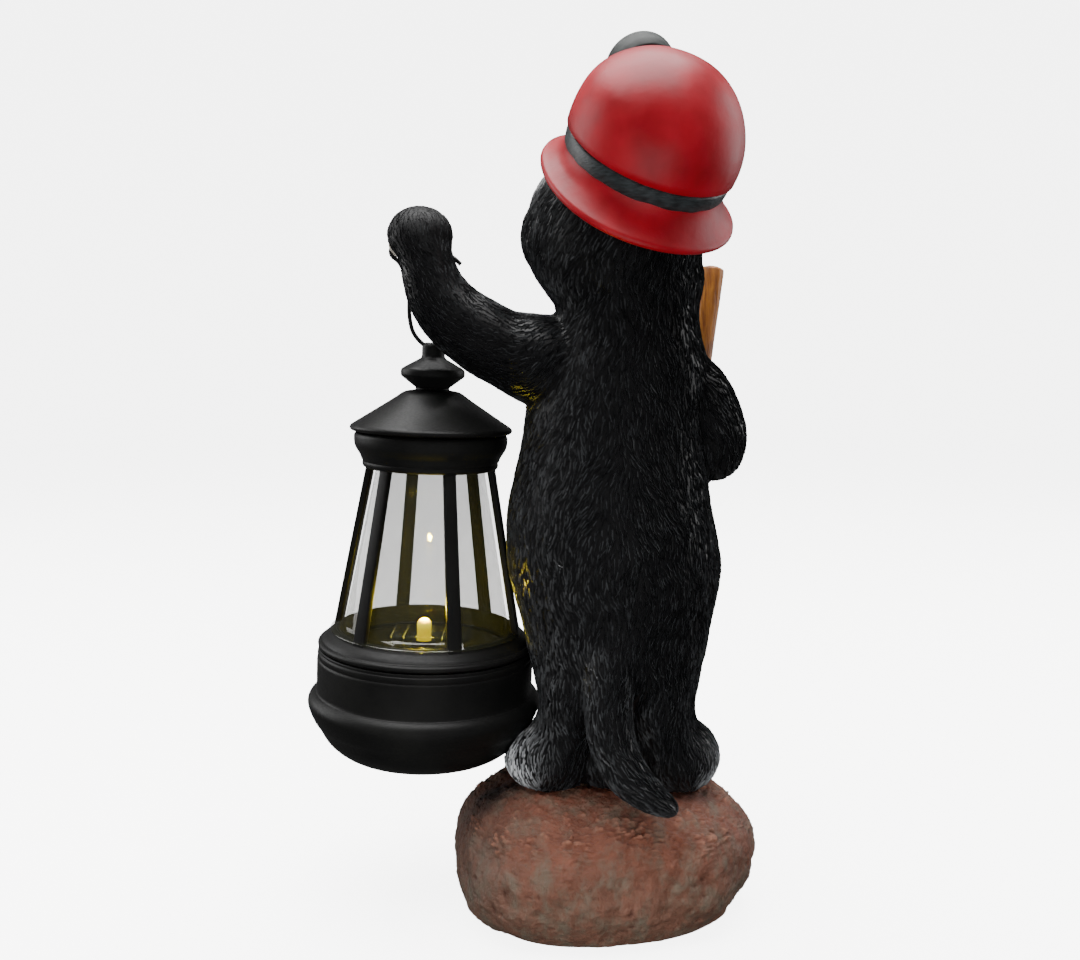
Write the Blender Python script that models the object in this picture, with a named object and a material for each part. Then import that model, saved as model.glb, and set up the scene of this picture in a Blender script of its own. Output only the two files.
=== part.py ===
"""A garden statue of a mole on a rock, with a shovel in one paw and a solar lantern hung from the other.

Metres, +Z up. The mole faces -Y, its raised left arm and the lantern are on the +X side, and the origin
is at the centre of the rock's flat underside.
"""
import bmesh
import bpy
import math
import numpy as np
from mathutils import Matrix, Vector, noise

# Rock, a rounded boulder with a flat underside
ROCK_WIDTH = 0.1126
ROCK_DEPTH = 0.0880
ROCK_HEIGHT = 0.0510
ROCK_ROUNDS = 11
ROCK_SEGMENTS = 32
ROCK_LUMP = 0.0022
ROCK_TURN = math.radians(9)

# Figure. Its points are in 270ths of its height above the rock, which are millimetres at the real size.
FIGURE_HEIGHT = 0.2700
FIGURE_SHARES = 270
FEET_SINK = 1.5
UNIT = FIGURE_HEIGHT / FIGURE_SHARES
FIGURE_VOXEL = 1.9 * UNIT
FIGURE_TRIANGLES = 2860
FUR_LOCK_WIDTH = 9.5
FUR_LOCK_LENGTH = 30.0
FUR_LOCK_DEPTH = 1.1

# Lantern, along its own axis, with heights above the widest line of the ring round its bowl
RING_DIAMETER = 0.0896
RING_HEIGHT = 0.0150
BOWL_DIAMETER = 0.0830
BOWL_WALL_HEIGHT = 0.0205
BOWL_DEPTH = 0.0230
BOWL_FOOT_DIAMETER = 0.0460
WALL = 0.0020
BASE_DIAMETER = 0.0826
BASE_HEIGHT = 0.0071
WINDOW_BASE_DIAMETER = 0.0657
WINDOW_TOP_DIAMETER = 0.0432
WINDOW_HEIGHT = 0.0614
WINDOW_WALL = 0.0012
RIB_COUNT = 6
RIB_WIDTH = 0.0044
RIB_DEPTH = 0.0026
RIB_TURN = math.radians(52.5)
COLLAR_DIAMETER = 0.0568
COLLAR_FOOT_DIAMETER = 0.0500
COLLAR_HEIGHT = 0.0135
ROOF_DIAMETER = 0.0606
ROOF_HEIGHT = 0.0160
ROOF_LIP = 0.0022
NECK_DIAMETER = 0.0124
FINIAL_DIAMETER = 0.0242
FINIAL_LIP = 0.0030
POST_DIAMETER = 0.0086
POST_HEIGHT = 0.0070
FLOOR_THICKNESS = 0.0020
PANEL_SIZE = 0.0300
PANEL_THICKNESS = 0.0012
LED_DIAMETER = 0.0056
LED_HEIGHT = 0.0085
SOCKET_DIAMETER = 0.0090
SOCKET_HEIGHT = 0.0040
HOOK_WIRE = 0.0016
FIT_GAP = 0.0003
LEAN_GAP = 0.0005
LANTERN_SEGMENTS = 24

# Where the lantern hangs. The post's top is this far from the middle of the raised paw.
POST_FROM_PAW = (-3.0, -15.0, -36.6)
LANTERN_LEAN = math.radians(2.1)

BLACK_PLASTIC = (0.012, 0.012, 0.011)


def clear_scene():
    for obj in list(bpy.data.objects):
        bpy.data.objects.remove(obj)


def material(name, colour, roughness, metallic=0.0, alpha=1.0):
    made = bpy.data.materials.new(name)
    made.use_nodes = True
    shader = made.node_tree.nodes["Principled BSDF"]
    shader.inputs["Base Color"].default_value = (*colour, 1.0)
    shader.inputs["Roughness"].default_value = roughness
    shader.inputs["Metallic"].default_value = metallic
    shader.inputs["Alpha"].default_value = alpha
    return made


def add_object(name, bm, finish=None, parent=None, smooth_angle=math.radians(40)):
    """A mesh object from bm, shaded smooth between its sharp edges."""
    bmesh.ops.recalc_face_normals(bm, faces=bm.faces)
    mesh = bpy.data.meshes.new(name)
    bm.to_mesh(mesh)
    bm.free()
    mesh.shade_smooth()
    mesh.set_sharp_from_angle(angle=smooth_angle)
    if finish:
        mesh.materials.append(finish)
    obj = bpy.data.objects.new(name, mesh)
    bpy.context.scene.collection.objects.link(obj)
    obj.parent = parent
    return obj


def hide(obj):
    """Marks a shape that only cuts or joins another one."""
    obj.hide_render = True
    obj.display_type = "WIRE"
    obj.hide_set(True)
    return obj


def evaluated_bmesh(obj):
    """The object's mesh with its modifiers applied."""
    bpy.context.view_layer.update()
    graph = bpy.context.evaluated_depsgraph_get()
    made = obj.evaluated_get(graph)
    bm = bmesh.new()
    bm.from_mesh(made.to_mesh())
    made.to_mesh_clear()
    return bm


def boolean(obj, other, operation):
    cut = obj.modifiers.new(f"{operation.lower()} {other.name}", "BOOLEAN")
    cut.operation = operation
    cut.solver = "EXACT"
    cut.object = hide(other)


def spin_profile(bm, profile, segments):
    """Turns a closed outline of (radius, height) points round the Z axis."""
    corners = [bm.verts.new((r, 0.0, z)) for r, z in profile]
    edges = [bm.edges.new((a, b)) for a, b in zip(corners, corners[1:] + corners[:1])]
    bmesh.ops.spin(
        bm, geom=corners + edges, cent=(0, 0, 0), axis=(0, 0, 1), angle=math.tau, steps=segments,
        use_merge=True,
    )
    bmesh.ops.remove_doubles(bm, verts=bm.verts, dist=1e-6)
    on_axis = [e for e in bm.edges if all(math.hypot(v.co.x, v.co.y) < 1e-6 for v in e.verts)]
    bmesh.ops.delete(bm, geom=on_axis, context="EDGES")
    bmesh.ops.holes_fill(bm, edges=bm.edges, sides=0)


def turned(name, profile, finish=None, parent=None, segments=LANTERN_SEGMENTS):
    bm = bmesh.new()
    spin_profile(bm, profile, segments)
    return add_object(name, bm, finish, parent)


def arc(centre, radius, start, end, steps):
    """Points of (radius, height) on a circle, from the start angle to the end angle in degrees."""
    turns = [math.radians(start + (end - start) * k / steps) for k in range(steps + 1)]
    return [(centre[0] + radius * math.cos(t), centre[1] + radius * math.sin(t)) for t in turns]


def smooth_path(points, steps):
    """Points on one smooth curve through the given ones, which may carry a radius as a fourth number."""
    given = [np.array(p, float) for p in points]
    ends = [2 * given[0] - given[1]] + given + [2 * given[-1] - given[-2]]
    path = []
    for a, b, c, d in zip(ends, ends[1:], ends[2:], ends[3:]):
        for k in range(steps):
            t = k / steps
            bend = (2 * a - 5 * b + 4 * c - d) * t**2 + (3 * b - a - 3 * c + d) * t**3
            path.append(0.5 * (2 * b + (c - a) * t + bend))
    return path + [given[-1]]


def join_rings(bm, rings):
    """Faces from each ring of corners to the next, closed flat at both ends."""
    sides = len(rings[0])
    for low, high in zip(rings, rings[1:]):
        for s in range(sides):
            bm.faces.new((low[s], low[(s + 1) % sides], high[(s + 1) % sides], high[s]))
    bm.faces.new(rings[0][::-1])
    bm.faces.new(rings[-1])


def tube_into(bm, points, sides=16, steps=6):
    """Adds a closed round tube through (x, y, z, radius) points."""
    path = smooth_path(points, steps)
    side = Vector((0.31, 0.87, 0.21))
    rings = []
    for k, p in enumerate(path):
        ahead = Vector(path[min(k + 1, len(path) - 1)][:3] - path[max(k - 1, 0)][:3]).normalized()
        side = (side - ahead * side.dot(ahead)).normalized()
        across = ahead.cross(side)
        ring = []
        for s in range(sides):
            turn = math.tau * s / sides
            out = side * math.cos(turn) + across * math.sin(turn)
            ring.append(bm.verts.new(Vector(p[:3]) + out * p[3]))
        rings.append(ring)
    join_rings(bm, rings)


def ball_into(bm, centre, radii, frame=Matrix.Identity(4), segments=24):
    """Adds an ellipsoid whose radii lie along the frame's axes."""
    place = frame @ Matrix.Translation(centre) @ Matrix.Diagonal((*radii, 1.0))
    rows = segments // 2
    bmesh.ops.create_uvsphere(bm, u_segments=segments, v_segments=rows, radius=1.0, matrix=place)


def loft_into(bm, rings, sides=32):
    """Adds a closed form through level ellipses of (height, centre x, centre y, half width, half depth)."""
    loops = []
    for z, x, y, wide, deep in smooth_path(rings, 3):
        loop = []
        for s in range(sides):
            turn = math.tau * s / sides
            loop.append(bm.verts.new((x + wide * math.cos(turn), y + deep * math.sin(turn), z)))
        loops.append(loop)
    join_rings(bm, loops)


# The head is tipped back and a little to its left. The helmet's axis and the snout's way set its frame.
CROWN_WAY = Vector((-0.312, 0.539, 0.783)).normalized()
SNOUT_WAY = Vector((0.200, -0.737, 0.645))
SNOUT_WAY = (SNOUT_WAY - CROWN_WAY * SNOUT_WAY.dot(CROWN_WAY)).normalized()
HEAD_CENTRE = Vector((-2.5, 1.0, 201.8))


def head_frame():
    """Figure shares: +X to the mole's left cheek, -Y along the snout, +Z out of the crown."""
    left = CROWN_WAY.cross(SNOUT_WAY)
    turn = Matrix((left, -SNOUT_WAY, CROWN_WAY)).transposed().to_4x4()
    return Matrix.Translation(HEAD_CENTRE) @ turn


def figure_frame():
    """Takes figure shares to metres, with the soles a little below the top of the rock."""
    return Matrix.Translation((0, 0, ROCK_HEIGHT - FEET_SINK * UNIT)) @ Matrix.Scale(UNIT, 4)


TORSO = [
    (13, -4.5, 3.0, 9.0, 9.0),
    (26, -5.0, 1.0, 17.0, 16.0),
    (36, -5.0, 1.0, 26.5, 23.0),
    (48, -4.9, 0.5, 33.0, 29.5),
    (61, -4.8, -1.5, 35.8, 33.0),
    (80, -4.0, -3.0, 40.3, 36.0),
    (93, -2.9, -3.5, 39.8, 36.5),
    (106, -2.0, -3.0, 38.0, 35.0),
    (128, -3.2, -1.5, 34.3, 31.0),
    (143, -4.2, 0.0, 33.0, 28.5),
    (155, -6.5, 1.0, 31.5, 26.5),
    (165, -7.6, 1.5, 27.6, 24.5),
    (177, -7.8, 1.5, 25.8, 24.0),
    (190, -6.5, 0.5, 29.0, 27.0),
    (200, -5.0, 0.0, 25.0, 24.0),
]
RAISED_ARM = [
    (0.0, 1.0, 148.0, 15.0),
    (20.0, 3.0, 156.0, 16.0),
    (39.0, 5.5, 163.5, 13.6),
    (54.5, 7.0, 171.0, 11.8),
    (62.0, 8.0, 181.0, 10.4),
    (64.0, 8.0, 192.0, 10.0),
    (67.0, 8.0, 201.0, 10.0),
]
PAW_CENTRE = (67.0, 6.0, 203.5)
SHOVEL_ARM = [
    (-20.0, 0.0, 152.0, 15.0),
    (-32.5, 0.0, 146.0, 13.6),
    (-40.5, -1.0, 133.0, 11.8),
    (-41.5, -5.0, 124.5, 10.6),
    (-42.0, -16.0, 126.0, 9.6),
    (-42.5, -28.0, 134.0, 9.0),
]
SHOVEL_TOP = Vector((-45.2, -40.3, 196.0))
SHOVEL_FOOT = Vector((-24.0, -35.0, 38.0))
SHAFT_RADIUS = 5.0
TAIL = [
    (-5.0, 18.0, 68.0, 11.0),
    (-4.6, 29.0, 58.0, 9.6),
    (-3.0, 35.5, 42.0, 7.8),
    (-3.2, 37.5, 27.0, 6.8),
    (-6.5, 38.5, 14.0, 6.0),
    (-13.0, 40.0, 6.5, 5.0),
    (-20.5, 41.0, 4.5, 3.6),
]
FEET = [((21.0, 0.0), (18.5, 27.0)), ((-28.5, 0.0), (17.0, 27.0))]


def add_feet(bm):
    for (x, y), (wide, deep) in FEET:
        side = 1 if x > 0 else -1
        ball_into(bm, (x - side * 1.0, y + 6.0, 10.0), (wide - 0.5, 19.5, 14.5))
        ball_into(bm, (x, y - 12.0, 6.0), (wide - 1.5, 19.0, 10.5))
        leg = x - 10.0 if side > 0 else x + 7.5
        knee = [(x - side * 3.0, 4.0, 10.0, 13.0), (leg, 3.0, 28.0, 13.4), (leg - side, 2.0, 46.0, 17.0)]
        tube_into(bm, knee)


def add_head(bm):
    head = head_frame()
    ball_into(bm, (-1.3, 0, 0), (30.8, 33.0, 32.0), head)
    for side in (1, -1):
        ball_into(bm, (side * 12.5 - 0.8, -12.0, -9.0), (17.5, 20.0, 17.0), head)
    snout = [(0, -8, -4, 29.0), (0, -24, -6, 24.0), (0, -38, -8, 17.0), (0, -50, -9, 11.0)]
    snout += [(0, -58, -9, 7.5)]
    points = [(*(head @ Vector(p[:3])), p[3]) for p in snout]
    tube_into(bm, points, 20)


def fur_lock(point):
    """How far a point stands out: long soft tufts that hang down side by side, each thickest near its tip."""
    turn = math.atan2(point.y, point.x + 4.0) * 34.0 + 4.0 * noise.noise(point / 20.0)
    column = math.tau * turn / FUR_LOCK_WIDTH
    row = math.tau * (point.z + 2.5 * noise.noise(point / 9.0)) / FUR_LOCK_LENGTH
    beside = math.sin(0.5 * column) * math.pi
    return FUR_LOCK_DEPTH * 0.5 * math.cos(column) * (0.7 + 0.5 * math.sin(row + beside))


def fur_figure():
    """The furred body as one closed mesh, in figure shares."""
    bm = bmesh.new()
    loft_into(bm, TORSO)
    add_feet(bm)
    add_head(bm)
    tube_into(bm, RAISED_ARM)
    ball_into(bm, PAW_CENTRE, (11.8, 11.2, 10.2))
    tube_into(bm, SHOVEL_ARM)
    ball_into(bm, (-43.5, -33.5, 139.0), (9.5, 9.0, 11.0))
    tube_into(bm, TAIL, 14)
    rough = add_object("figure_rough", bm)
    remesh = rough.modifiers.new("one skin", "REMESH")
    remesh.mode = "VOXEL"
    remesh.voxel_size = FIGURE_VOXEL / UNIT
    soften = rough.modifiers.new("soft joins", "SMOOTH")
    soften.factor = 0.5
    soften.iterations = 9
    made = evaluated_bmesh(rough)
    bpy.data.objects.remove(rough)
    made.normal_update()
    away = [(v, v.normal * fur_lock(v.co)) for v in made.verts]
    for v, step in away:
        v.co += step
    return made


def helmet():
    """The miner's helmet, turned solid, with a brim that is pressed in a little on the mole's left."""
    edge, band, inner, pressed = 37.6, 28.4, 25.5, 3.4
    dome_height, dome_radius = 19.0, 30.7
    start = math.degrees(math.asin((16.4 - dome_height) / dome_radius))
    profile = [(inner, 7.0), (edge - 1.2, -1.0), (edge, 0.0), (edge - 0.4, 1.6)]
    profile += [(33.6, 4.4), (30.6, 7.6), (band, 10.2), (band + 1.0, 10.6), (band + 1.0, 16.0)]
    profile += arc((0.0, dome_height), dome_radius, start, 90, 7)
    profile += [(0.0, 7.0)]
    bm = bmesh.new()
    spin_profile(bm, profile, 28)
    for v in bm.verts:
        if v.co.x > 0 and v.co.z < 10.4:
            v.co.x -= pressed * (v.co.x / edge) ** 3
    bmesh.ops.transform(bm, matrix=head_frame() @ Matrix.Translation((0, 0, 20.0)), verts=bm.verts)
    return bm


def headlamp():
    """The round lamp on the helmet's front, with a raised rim round its lens."""
    profile = [(0, 0), (11.6, 0), (12.6, 3.0), (12.6, 9.0), (11.8, 10.2), (10.6, 10.2), (9.8, 9.0)]
    profile += [(0, 7.6)]
    bm = bmesh.new()
    spin_profile(bm, profile[::-1], 20)
    tip = Matrix.Rotation(math.radians(90), 4, "X")
    place = head_frame() @ Matrix.Translation((1.6, -22.0, 52.2)) @ tip
    bmesh.ops.transform(bm, matrix=place, verts=bm.verts)
    return bm


def shovel_shaft():
    """A round shaft with a softened top end, down into the blade's socket."""
    bm = bmesh.new()
    down = (SHOVEL_FOOT - SHOVEL_TOP).normalized()
    shoulder = SHOVEL_TOP + down * 2.0
    foot = SHOVEL_FOOT + down * 10.0
    points = [(*SHOVEL_TOP, SHAFT_RADIUS * 0.8), (*shoulder, SHAFT_RADIUS), (*foot, SHAFT_RADIUS * 0.85)]
    tube_into(bm, points, 14, 2)
    return bm


def shovel_blade():
    """A pointed spade's blade, dished across its width, that stands on the rock in front of the feet."""
    bm = bmesh.new()
    outline = [(-16.5, 0.0), (-17.5, -14.0), (-15.0, -27.0), (-8.5, -36.0), (0.0, -40.0)]
    outline += [(-x, z) for x, z in outline[-2::-1]]
    front = [bm.verts.new((x, -2.0 - 3.5 * (1 - (x / 18.0) ** 2), z)) for x, z in outline]
    back = [bm.verts.new((x, 2.0 - 3.5 * (1 - (x / 18.0) ** 2), z)) for x, z in outline]
    middle_front = bm.verts.new((0, -5.5, 0.0))
    middle_back = bm.verts.new((0, -1.5, 0.0))
    for a, b in zip(range(len(outline) - 1), range(1, len(outline))):
        bm.faces.new((front[a], front[b], middle_front))
        bm.faces.new((back[b], back[a], middle_back))
        bm.faces.new((front[a], back[a], back[b], front[b]))
    bm.faces.new((front[-1], back[-1], middle_back, middle_front))
    bm.faces.new((middle_front, middle_back, back[0], front[0]))
    down = (SHOVEL_FOOT - SHOVEL_TOP).normalized()
    lean = Vector((0, 0, -1)).rotation_difference(down).to_matrix().to_4x4()
    bmesh.ops.transform(bm, matrix=Matrix.Translation(SHOVEL_FOOT) @ lean, verts=bm.verts)
    return bm


def rock():
    """Level rounds of a squarish oval, bulged at the side, lumpy above its flat underside."""
    bm = bmesh.new()
    widest, top_round, foot_round = 0.40, 2.8, 2.4
    rounds = []
    for k in range(ROCK_ROUNDS):
        level = math.sin(0.5 * math.pi * k / (ROCK_ROUNDS - 1)) if k else 0.0
        away = (level - widest) / ((1 - widest) if level > widest else 1.45 * widest)
        power = top_round if level > widest else foot_round
        share = max(0.0, 1 - abs(away) ** power) ** (1 / power)
        rounds.append((level * ROCK_HEIGHT, share))
    loops = []
    for z, share in rounds[:-1]:
        loop = []
        for s in range(ROCK_SEGMENTS):
            t = math.tau * (s + 0.5) / ROCK_SEGMENTS
            c, q = math.cos(t), math.sin(t)
            grow = (abs(c) ** 2.5 + abs(q) ** 2.5) ** (-1 / 2.5)
            spot = Vector((c * grow * share * ROCK_WIDTH / 2, q * grow * share * ROCK_DEPTH / 2, z))
            if z > 0:
                lump = noise.noise(spot / (ROCK_HEIGHT * 0.45)) + 0.5 * noise.noise(spot / (ROCK_HEIGHT * 0.2))
                spot += Vector((c, q, 0.3)) * lump * ROCK_LUMP
            loop.append(bm.verts.new(spot))
        loops.append(loop)
    join_rings(bm, loops)
    bmesh.ops.rotate(bm, verts=bm.verts, cent=(0, 0, 0), matrix=Matrix.Rotation(ROCK_TURN, 3, "Z"))
    return bm


def paw_claws():
    """Curved claws of the raised paw, each a tapered tube with its root in the flesh, hooked over the wire."""
    bm = bmesh.new()
    for k in range(4):
        x = 58.8 + 5.4 * k
        z = 199.5 + 0.9 * k
        hook = [(x, 4.0, z + 3.0, 2.3), (x, -4.0, z + 6.8, 2.5), (x + 0.4, -12.4, z + 4.4, 2.3)]
        hook += [(x + 0.5, -14.4, z - 2.0, 1.8), (x + 0.3, -11.6, z - 5.6, 0.9)]
        tube_into(bm, hook, 6, 1)
    return bm


def grip_claws():
    """Claws of the lower paw, closed round the shovel's shaft."""
    bm = bmesh.new()
    for k in range(4):
        z = 131.0 + 5.2 * k
        x = -38.0 - 0.72 * k
        hook = [(x - 8.5, -36.0, z, 2.4), (x - 8.3, -42.5, z - 0.3, 2.4), (x - 4.5, -46.8, z - 0.7, 2.1)]
        hook += [(x + 1.2, -45.0, z - 1.2, 1.3)]
        tube_into(bm, hook, 6, 1)
    return bm


def toe_claws():
    bm = bmesh.new()
    for (x, _), (wide, _) in FEET:
        for k in range(4):
            across = (k - 1.5) * wide * 0.46
            y = -27.0 + abs(across) * 0.32
            hook = [(x + across, y + 6, 5.5, 3.1), (x + across * 1.06, y - 1.5, 5.6, 2.7)]
            hook += [(x + across * 1.1, y - 7, 2.4, 1.1)]
            tube_into(bm, hook, 6, 1)
    return bm


def nose_and_eyes():
    bm = bmesh.new()
    ball_into(bm, (0, -60.0, -8.5), (7.6, 6.6, 6.4), head_frame(), 12)
    for side in (1, -1):
        ball_into(bm, (side * 13.6, -33.5, 7.5), (3.0, 3.0, 3.0), head_frame(), 8)
    return bm


def bowl_outline():
    """The outer side of the bowl from its foot up to its rim, with the rolled ring round its waist."""
    wall, ring, foot = BOWL_DIAMETER / 2, RING_DIAMETER / 2, BOWL_FOOT_DIAMETER / 2
    low, half = -BOWL_DEPTH, RING_HEIGHT / 2
    spread = wall - foot
    outline = [(foot, low), (foot + spread * 0.50, low * 0.86), (foot + spread * 0.80, low * 0.66)]
    outline += [(wall - 0.0012, -half), (ring - 0.0010, -half * 0.62), (ring, -half * 0.2), (ring, half * 0.1)]
    outline += [(ring - 0.0010, half * 0.35), (wall, half * 0.6), (wall - 0.0010, BOWL_WALL_HEIGHT * 0.9)]
    return outline + [(wall - 0.0006, BOWL_WALL_HEIGHT)]


def lantern_envelope(room):
    """The lantern's outline with room round it, which the statue is kept clear of."""
    at = lantern_heights()
    base = BASE_DIAMETER / 2 + room
    below = [(r + room * 1.5, z - room if z < -RING_HEIGHT / 2 else z) for r, z in bowl_outline()]
    above = [
        (base, at["base"] + BASE_HEIGHT * 0.3),
        (WINDOW_BASE_DIAMETER / 2 + RIB_DEPTH + FIT_GAP * 2 + room, at["window"]),
        (COLLAR_FOOT_DIAMETER / 2 + room, at["collar"]),
        (max(COLLAR_DIAMETER, ROOF_DIAMETER) / 2 + room, at["roof"] - COLLAR_HEIGHT * 0.4),
        (max(COLLAR_DIAMETER, ROOF_DIAMETER) / 2 + room, at["roof"] + ROOF_LIP + room),
        (FINIAL_DIAMETER / 2 + room, at["neck"]),
        (FINIAL_DIAMETER / 2 + room, at["finial"] + FINIAL_LIP + room),
        (POST_DIAMETER / 2 + room, at["post"] + room),
        (POST_DIAMETER / 2 + room, at["top"] + room),
    ]
    return [(0, at["foot"] - room)] + below + above + [(0, at["top"] + room)]


def lantern_heights():
    """Where each level of the lantern starts, above the widest line of its ring."""
    base = BOWL_WALL_HEIGHT + FIT_GAP
    window = base + BASE_HEIGHT
    collar = window + WINDOW_HEIGHT
    roof = collar + COLLAR_HEIGHT + FIT_GAP
    neck = roof + ROOF_HEIGHT
    finial = neck + 0.0050
    post = finial + FINIAL_LIP + 0.0040
    top = post + POST_HEIGHT
    return dict(foot=-BOWL_DEPTH, base=base, window=window, collar=collar, roof=roof, neck=neck, finial=finial,
                post=post, top=top)


def lantern_axis():
    """The empty at the middle of the lantern's ring, leaning so that the foot swings away from the mole."""
    post = figure_frame() @ (Vector(PAW_CENTRE) + Vector(POST_FROM_PAW))
    lean = Matrix.Rotation(-LANTERN_LEAN, 4, "Y")
    axis = bpy.data.objects.new("lantern_axis", None)
    axis.matrix_world = Matrix.Translation(post) @ lean @ Matrix.Translation((0, 0, -lantern_heights()["top"]))
    bpy.context.scene.collection.objects.link(axis)
    return axis


def casting(axis, finish):
    """The cast statue: body, helmet, lamp, shovel and rock in one, carved clear of the lantern."""
    statue = add_object("mole_casting", fur_figure(), finish)
    statue.matrix_world = figure_frame()
    thin = statue.modifiers.new("fewer faces", "DECIMATE")
    thin.ratio = FIGURE_TRIANGLES / (2 * len(statue.data.polygons))
    for name, shape in (
        ("helmet", helmet()), ("headlamp", headlamp()), ("nose_and_eyes", nose_and_eyes()),
        ("shovel_shaft", shovel_shaft()), ("shovel_blade", shovel_blade()), ("paw_claws", paw_claws()),
        ("grip_claws", grip_claws()), ("toe_claws", toe_claws()),
    ):
        part = add_object(name, shape)
        part.matrix_world = figure_frame()
        boolean(statue, part, "UNION")
    boolean(statue, add_object("rock", rock()), "UNION")
    room = turned("lantern_room", lantern_envelope(LEAN_GAP), parent=axis)
    boolean(statue, room, "DIFFERENCE")
    return statue


def roof(axis, finish):
    at = lantern_heights()
    rim, neck, finial, post = ROOF_DIAMETER / 2, NECK_DIAMETER / 2, FINIAL_DIAMETER / 2, POST_DIAMETER / 2
    low, lip = at["roof"], ROOF_LIP
    profile = [(neck + WALL, low + ROOF_HEIGHT - WALL * 1.6), (rim - WALL, low + lip * 0.6), (rim - WALL, low)]
    profile += [(rim - 0.0008, low), (rim, low + lip * 0.5), (rim - 0.0005, low + lip)]
    profile += [(rim * 0.66, low + ROOF_HEIGHT * 0.55), (neck + 0.0070, at["neck"] - 0.0028)]
    profile += [(neck + 0.0042, at["neck"] - 0.0005), (neck, at["neck"])]
    profile += [(finial, at["finial"]), (finial, at["finial"] + FINIAL_LIP * 0.8)]
    profile += [(finial - 0.0008, at["finial"] + FINIAL_LIP)]
    profile += [(post, at["post"]), (post, at["top"] - 0.0015), (post - 0.0015, at["top"]), (0, at["top"])]
    profile += [(0, low + ROOF_HEIGHT - WALL * 1.6)]
    return turned("lantern_roof", profile, finish, axis)


def window_radius(height):
    """The outer radius of the tapered window, with its slope carried on past both ends."""
    at = lantern_heights()
    share = (height - at["window"]) / (at["collar"] - at["window"])
    return (WINDOW_BASE_DIAMETER + (WINDOW_TOP_DIAMETER - WINDOW_BASE_DIAMETER) * share) / 2


def frame_rib(turn):
    """One upright of the frame: a bar from the base ring to the collar, widening downwards."""
    at = lantern_heights()
    bm = bmesh.new()
    levels = []
    low, high = at["window"] - BASE_HEIGHT * 0.5, at["collar"] + COLLAR_HEIGHT * 0.2
    for height, half in ((low, RIB_WIDTH * 0.61), (high, RIB_WIDTH * 0.5)):
        near = window_radius(height) + FIT_GAP * 2
        far = near + RIB_DEPTH
        levels.append([(near, -half, height), (far, -half, height), (far, half, height), (near, half, height)])
    join_rings(bm, [[bm.verts.new(p) for p in level] for level in levels])
    bmesh.ops.rotate(bm, verts=bm.verts, cent=(0, 0, 0), matrix=Matrix.Rotation(turn, 3, "Z"))
    return bm


def lantern_frame(axis, finish):
    """Base ring, six uprights and collar, moulded as one cage that holds the clear window."""
    at = lantern_heights()
    base, window = BASE_DIAMETER / 2, WINDOW_BASE_DIAMETER / 2 + FIT_GAP
    low, top = at["base"], at["window"]
    cage = turned("lantern_frame", [
        (window, low), (base - 0.0006, low), (base, low + BASE_HEIGHT * 0.12),
        (base, low + BASE_HEIGHT * 0.24), (base - 0.0030, low + BASE_HEIGHT * 0.62),
        (window + RIB_DEPTH * 0.4, top), (window, top),
    ], finish, axis)
    rim, foot, slot = COLLAR_DIAMETER / 2, COLLAR_FOOT_DIAMETER / 2, WINDOW_TOP_DIAMETER / 2 + FIT_GAP
    high = at["collar"] + COLLAR_HEIGHT
    collar = turned("collar", [
        (slot, at["collar"]), (foot - 0.0006, at["collar"]), (foot, at["collar"] + 0.0012),
        (foot + 0.0003, at["collar"] + COLLAR_HEIGHT * 0.42),
        (rim - 0.0022, at["collar"] + COLLAR_HEIGHT * 0.62),
        (rim - 0.0004, at["collar"] + COLLAR_HEIGHT * 0.78), (rim, high - 0.0014), (rim - 0.0012, high),
        (slot, high),
    ], parent=axis)
    boolean(cage, collar, "UNION")
    for k in range(RIB_COUNT):
        upright = add_object(f"upright_{k + 1}", frame_rib(RIB_TURN + math.tau * k / RIB_COUNT), parent=axis)
        boolean(cage, upright, "UNION")
    return cage


def lantern_window(axis, finish):
    at = lantern_heights()
    low, high = at["base"] + FIT_GAP, at["collar"] + COLLAR_HEIGHT * 0.6
    foot = WINDOW_BASE_DIAMETER / 2
    outer = [(foot, low), (foot, at["window"]), (window_radius(high), high)]
    inner = [(r - WINDOW_WALL, z) for r, z in outer[::-1]]
    return turned("lantern_window", outer + inner, finish, axis)


def lantern_bowl(axis, finish):
    """The bowl under the window, hollow, with a rolled ring round its waist."""
    wall, foot, low = BOWL_DIAMETER / 2, BOWL_FOOT_DIAMETER / 2, -BOWL_DEPTH
    inside = [(wall - WALL * 1.6, BOWL_WALL_HEIGHT), (wall - WALL * 1.6, 0.0)]
    inside += [(foot + (wall - foot) * 0.72, low * 0.62), (foot - WALL * 0.5, low + WALL), (0, low + WALL)]
    return turned("lantern_bowl", [(0, low)] + bowl_outline() + inside, finish, axis)


def lantern_floor(axis, finish):
    """The plate that closes the bowl under the window and carries the lamp and the solar panel."""
    top = lantern_heights()["base"] - FIT_GAP * 2
    low = top - FLOOR_THICKNESS
    reach = BOWL_DIAMETER / 2 - WALL * 1.6 - FIT_GAP
    return turned("lantern_floor", [(0, low), (reach, low), (reach, top), (0, top)], finish, axis)


def solar_panel(axis, finish):
    low = lantern_heights()["base"]
    bm = bmesh.new()
    bmesh.ops.create_cube(bm, size=1.0)
    size = Matrix.Diagonal((PANEL_SIZE, PANEL_SIZE * 0.62, PANEL_THICKNESS, 1.0))
    place = Matrix.Translation((0, -PANEL_SIZE * 0.46, low + PANEL_THICKNESS / 2))
    bmesh.ops.transform(bm, matrix=place @ size, verts=bm.verts)
    return add_object("solar_panel", bm, finish, axis)


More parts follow.
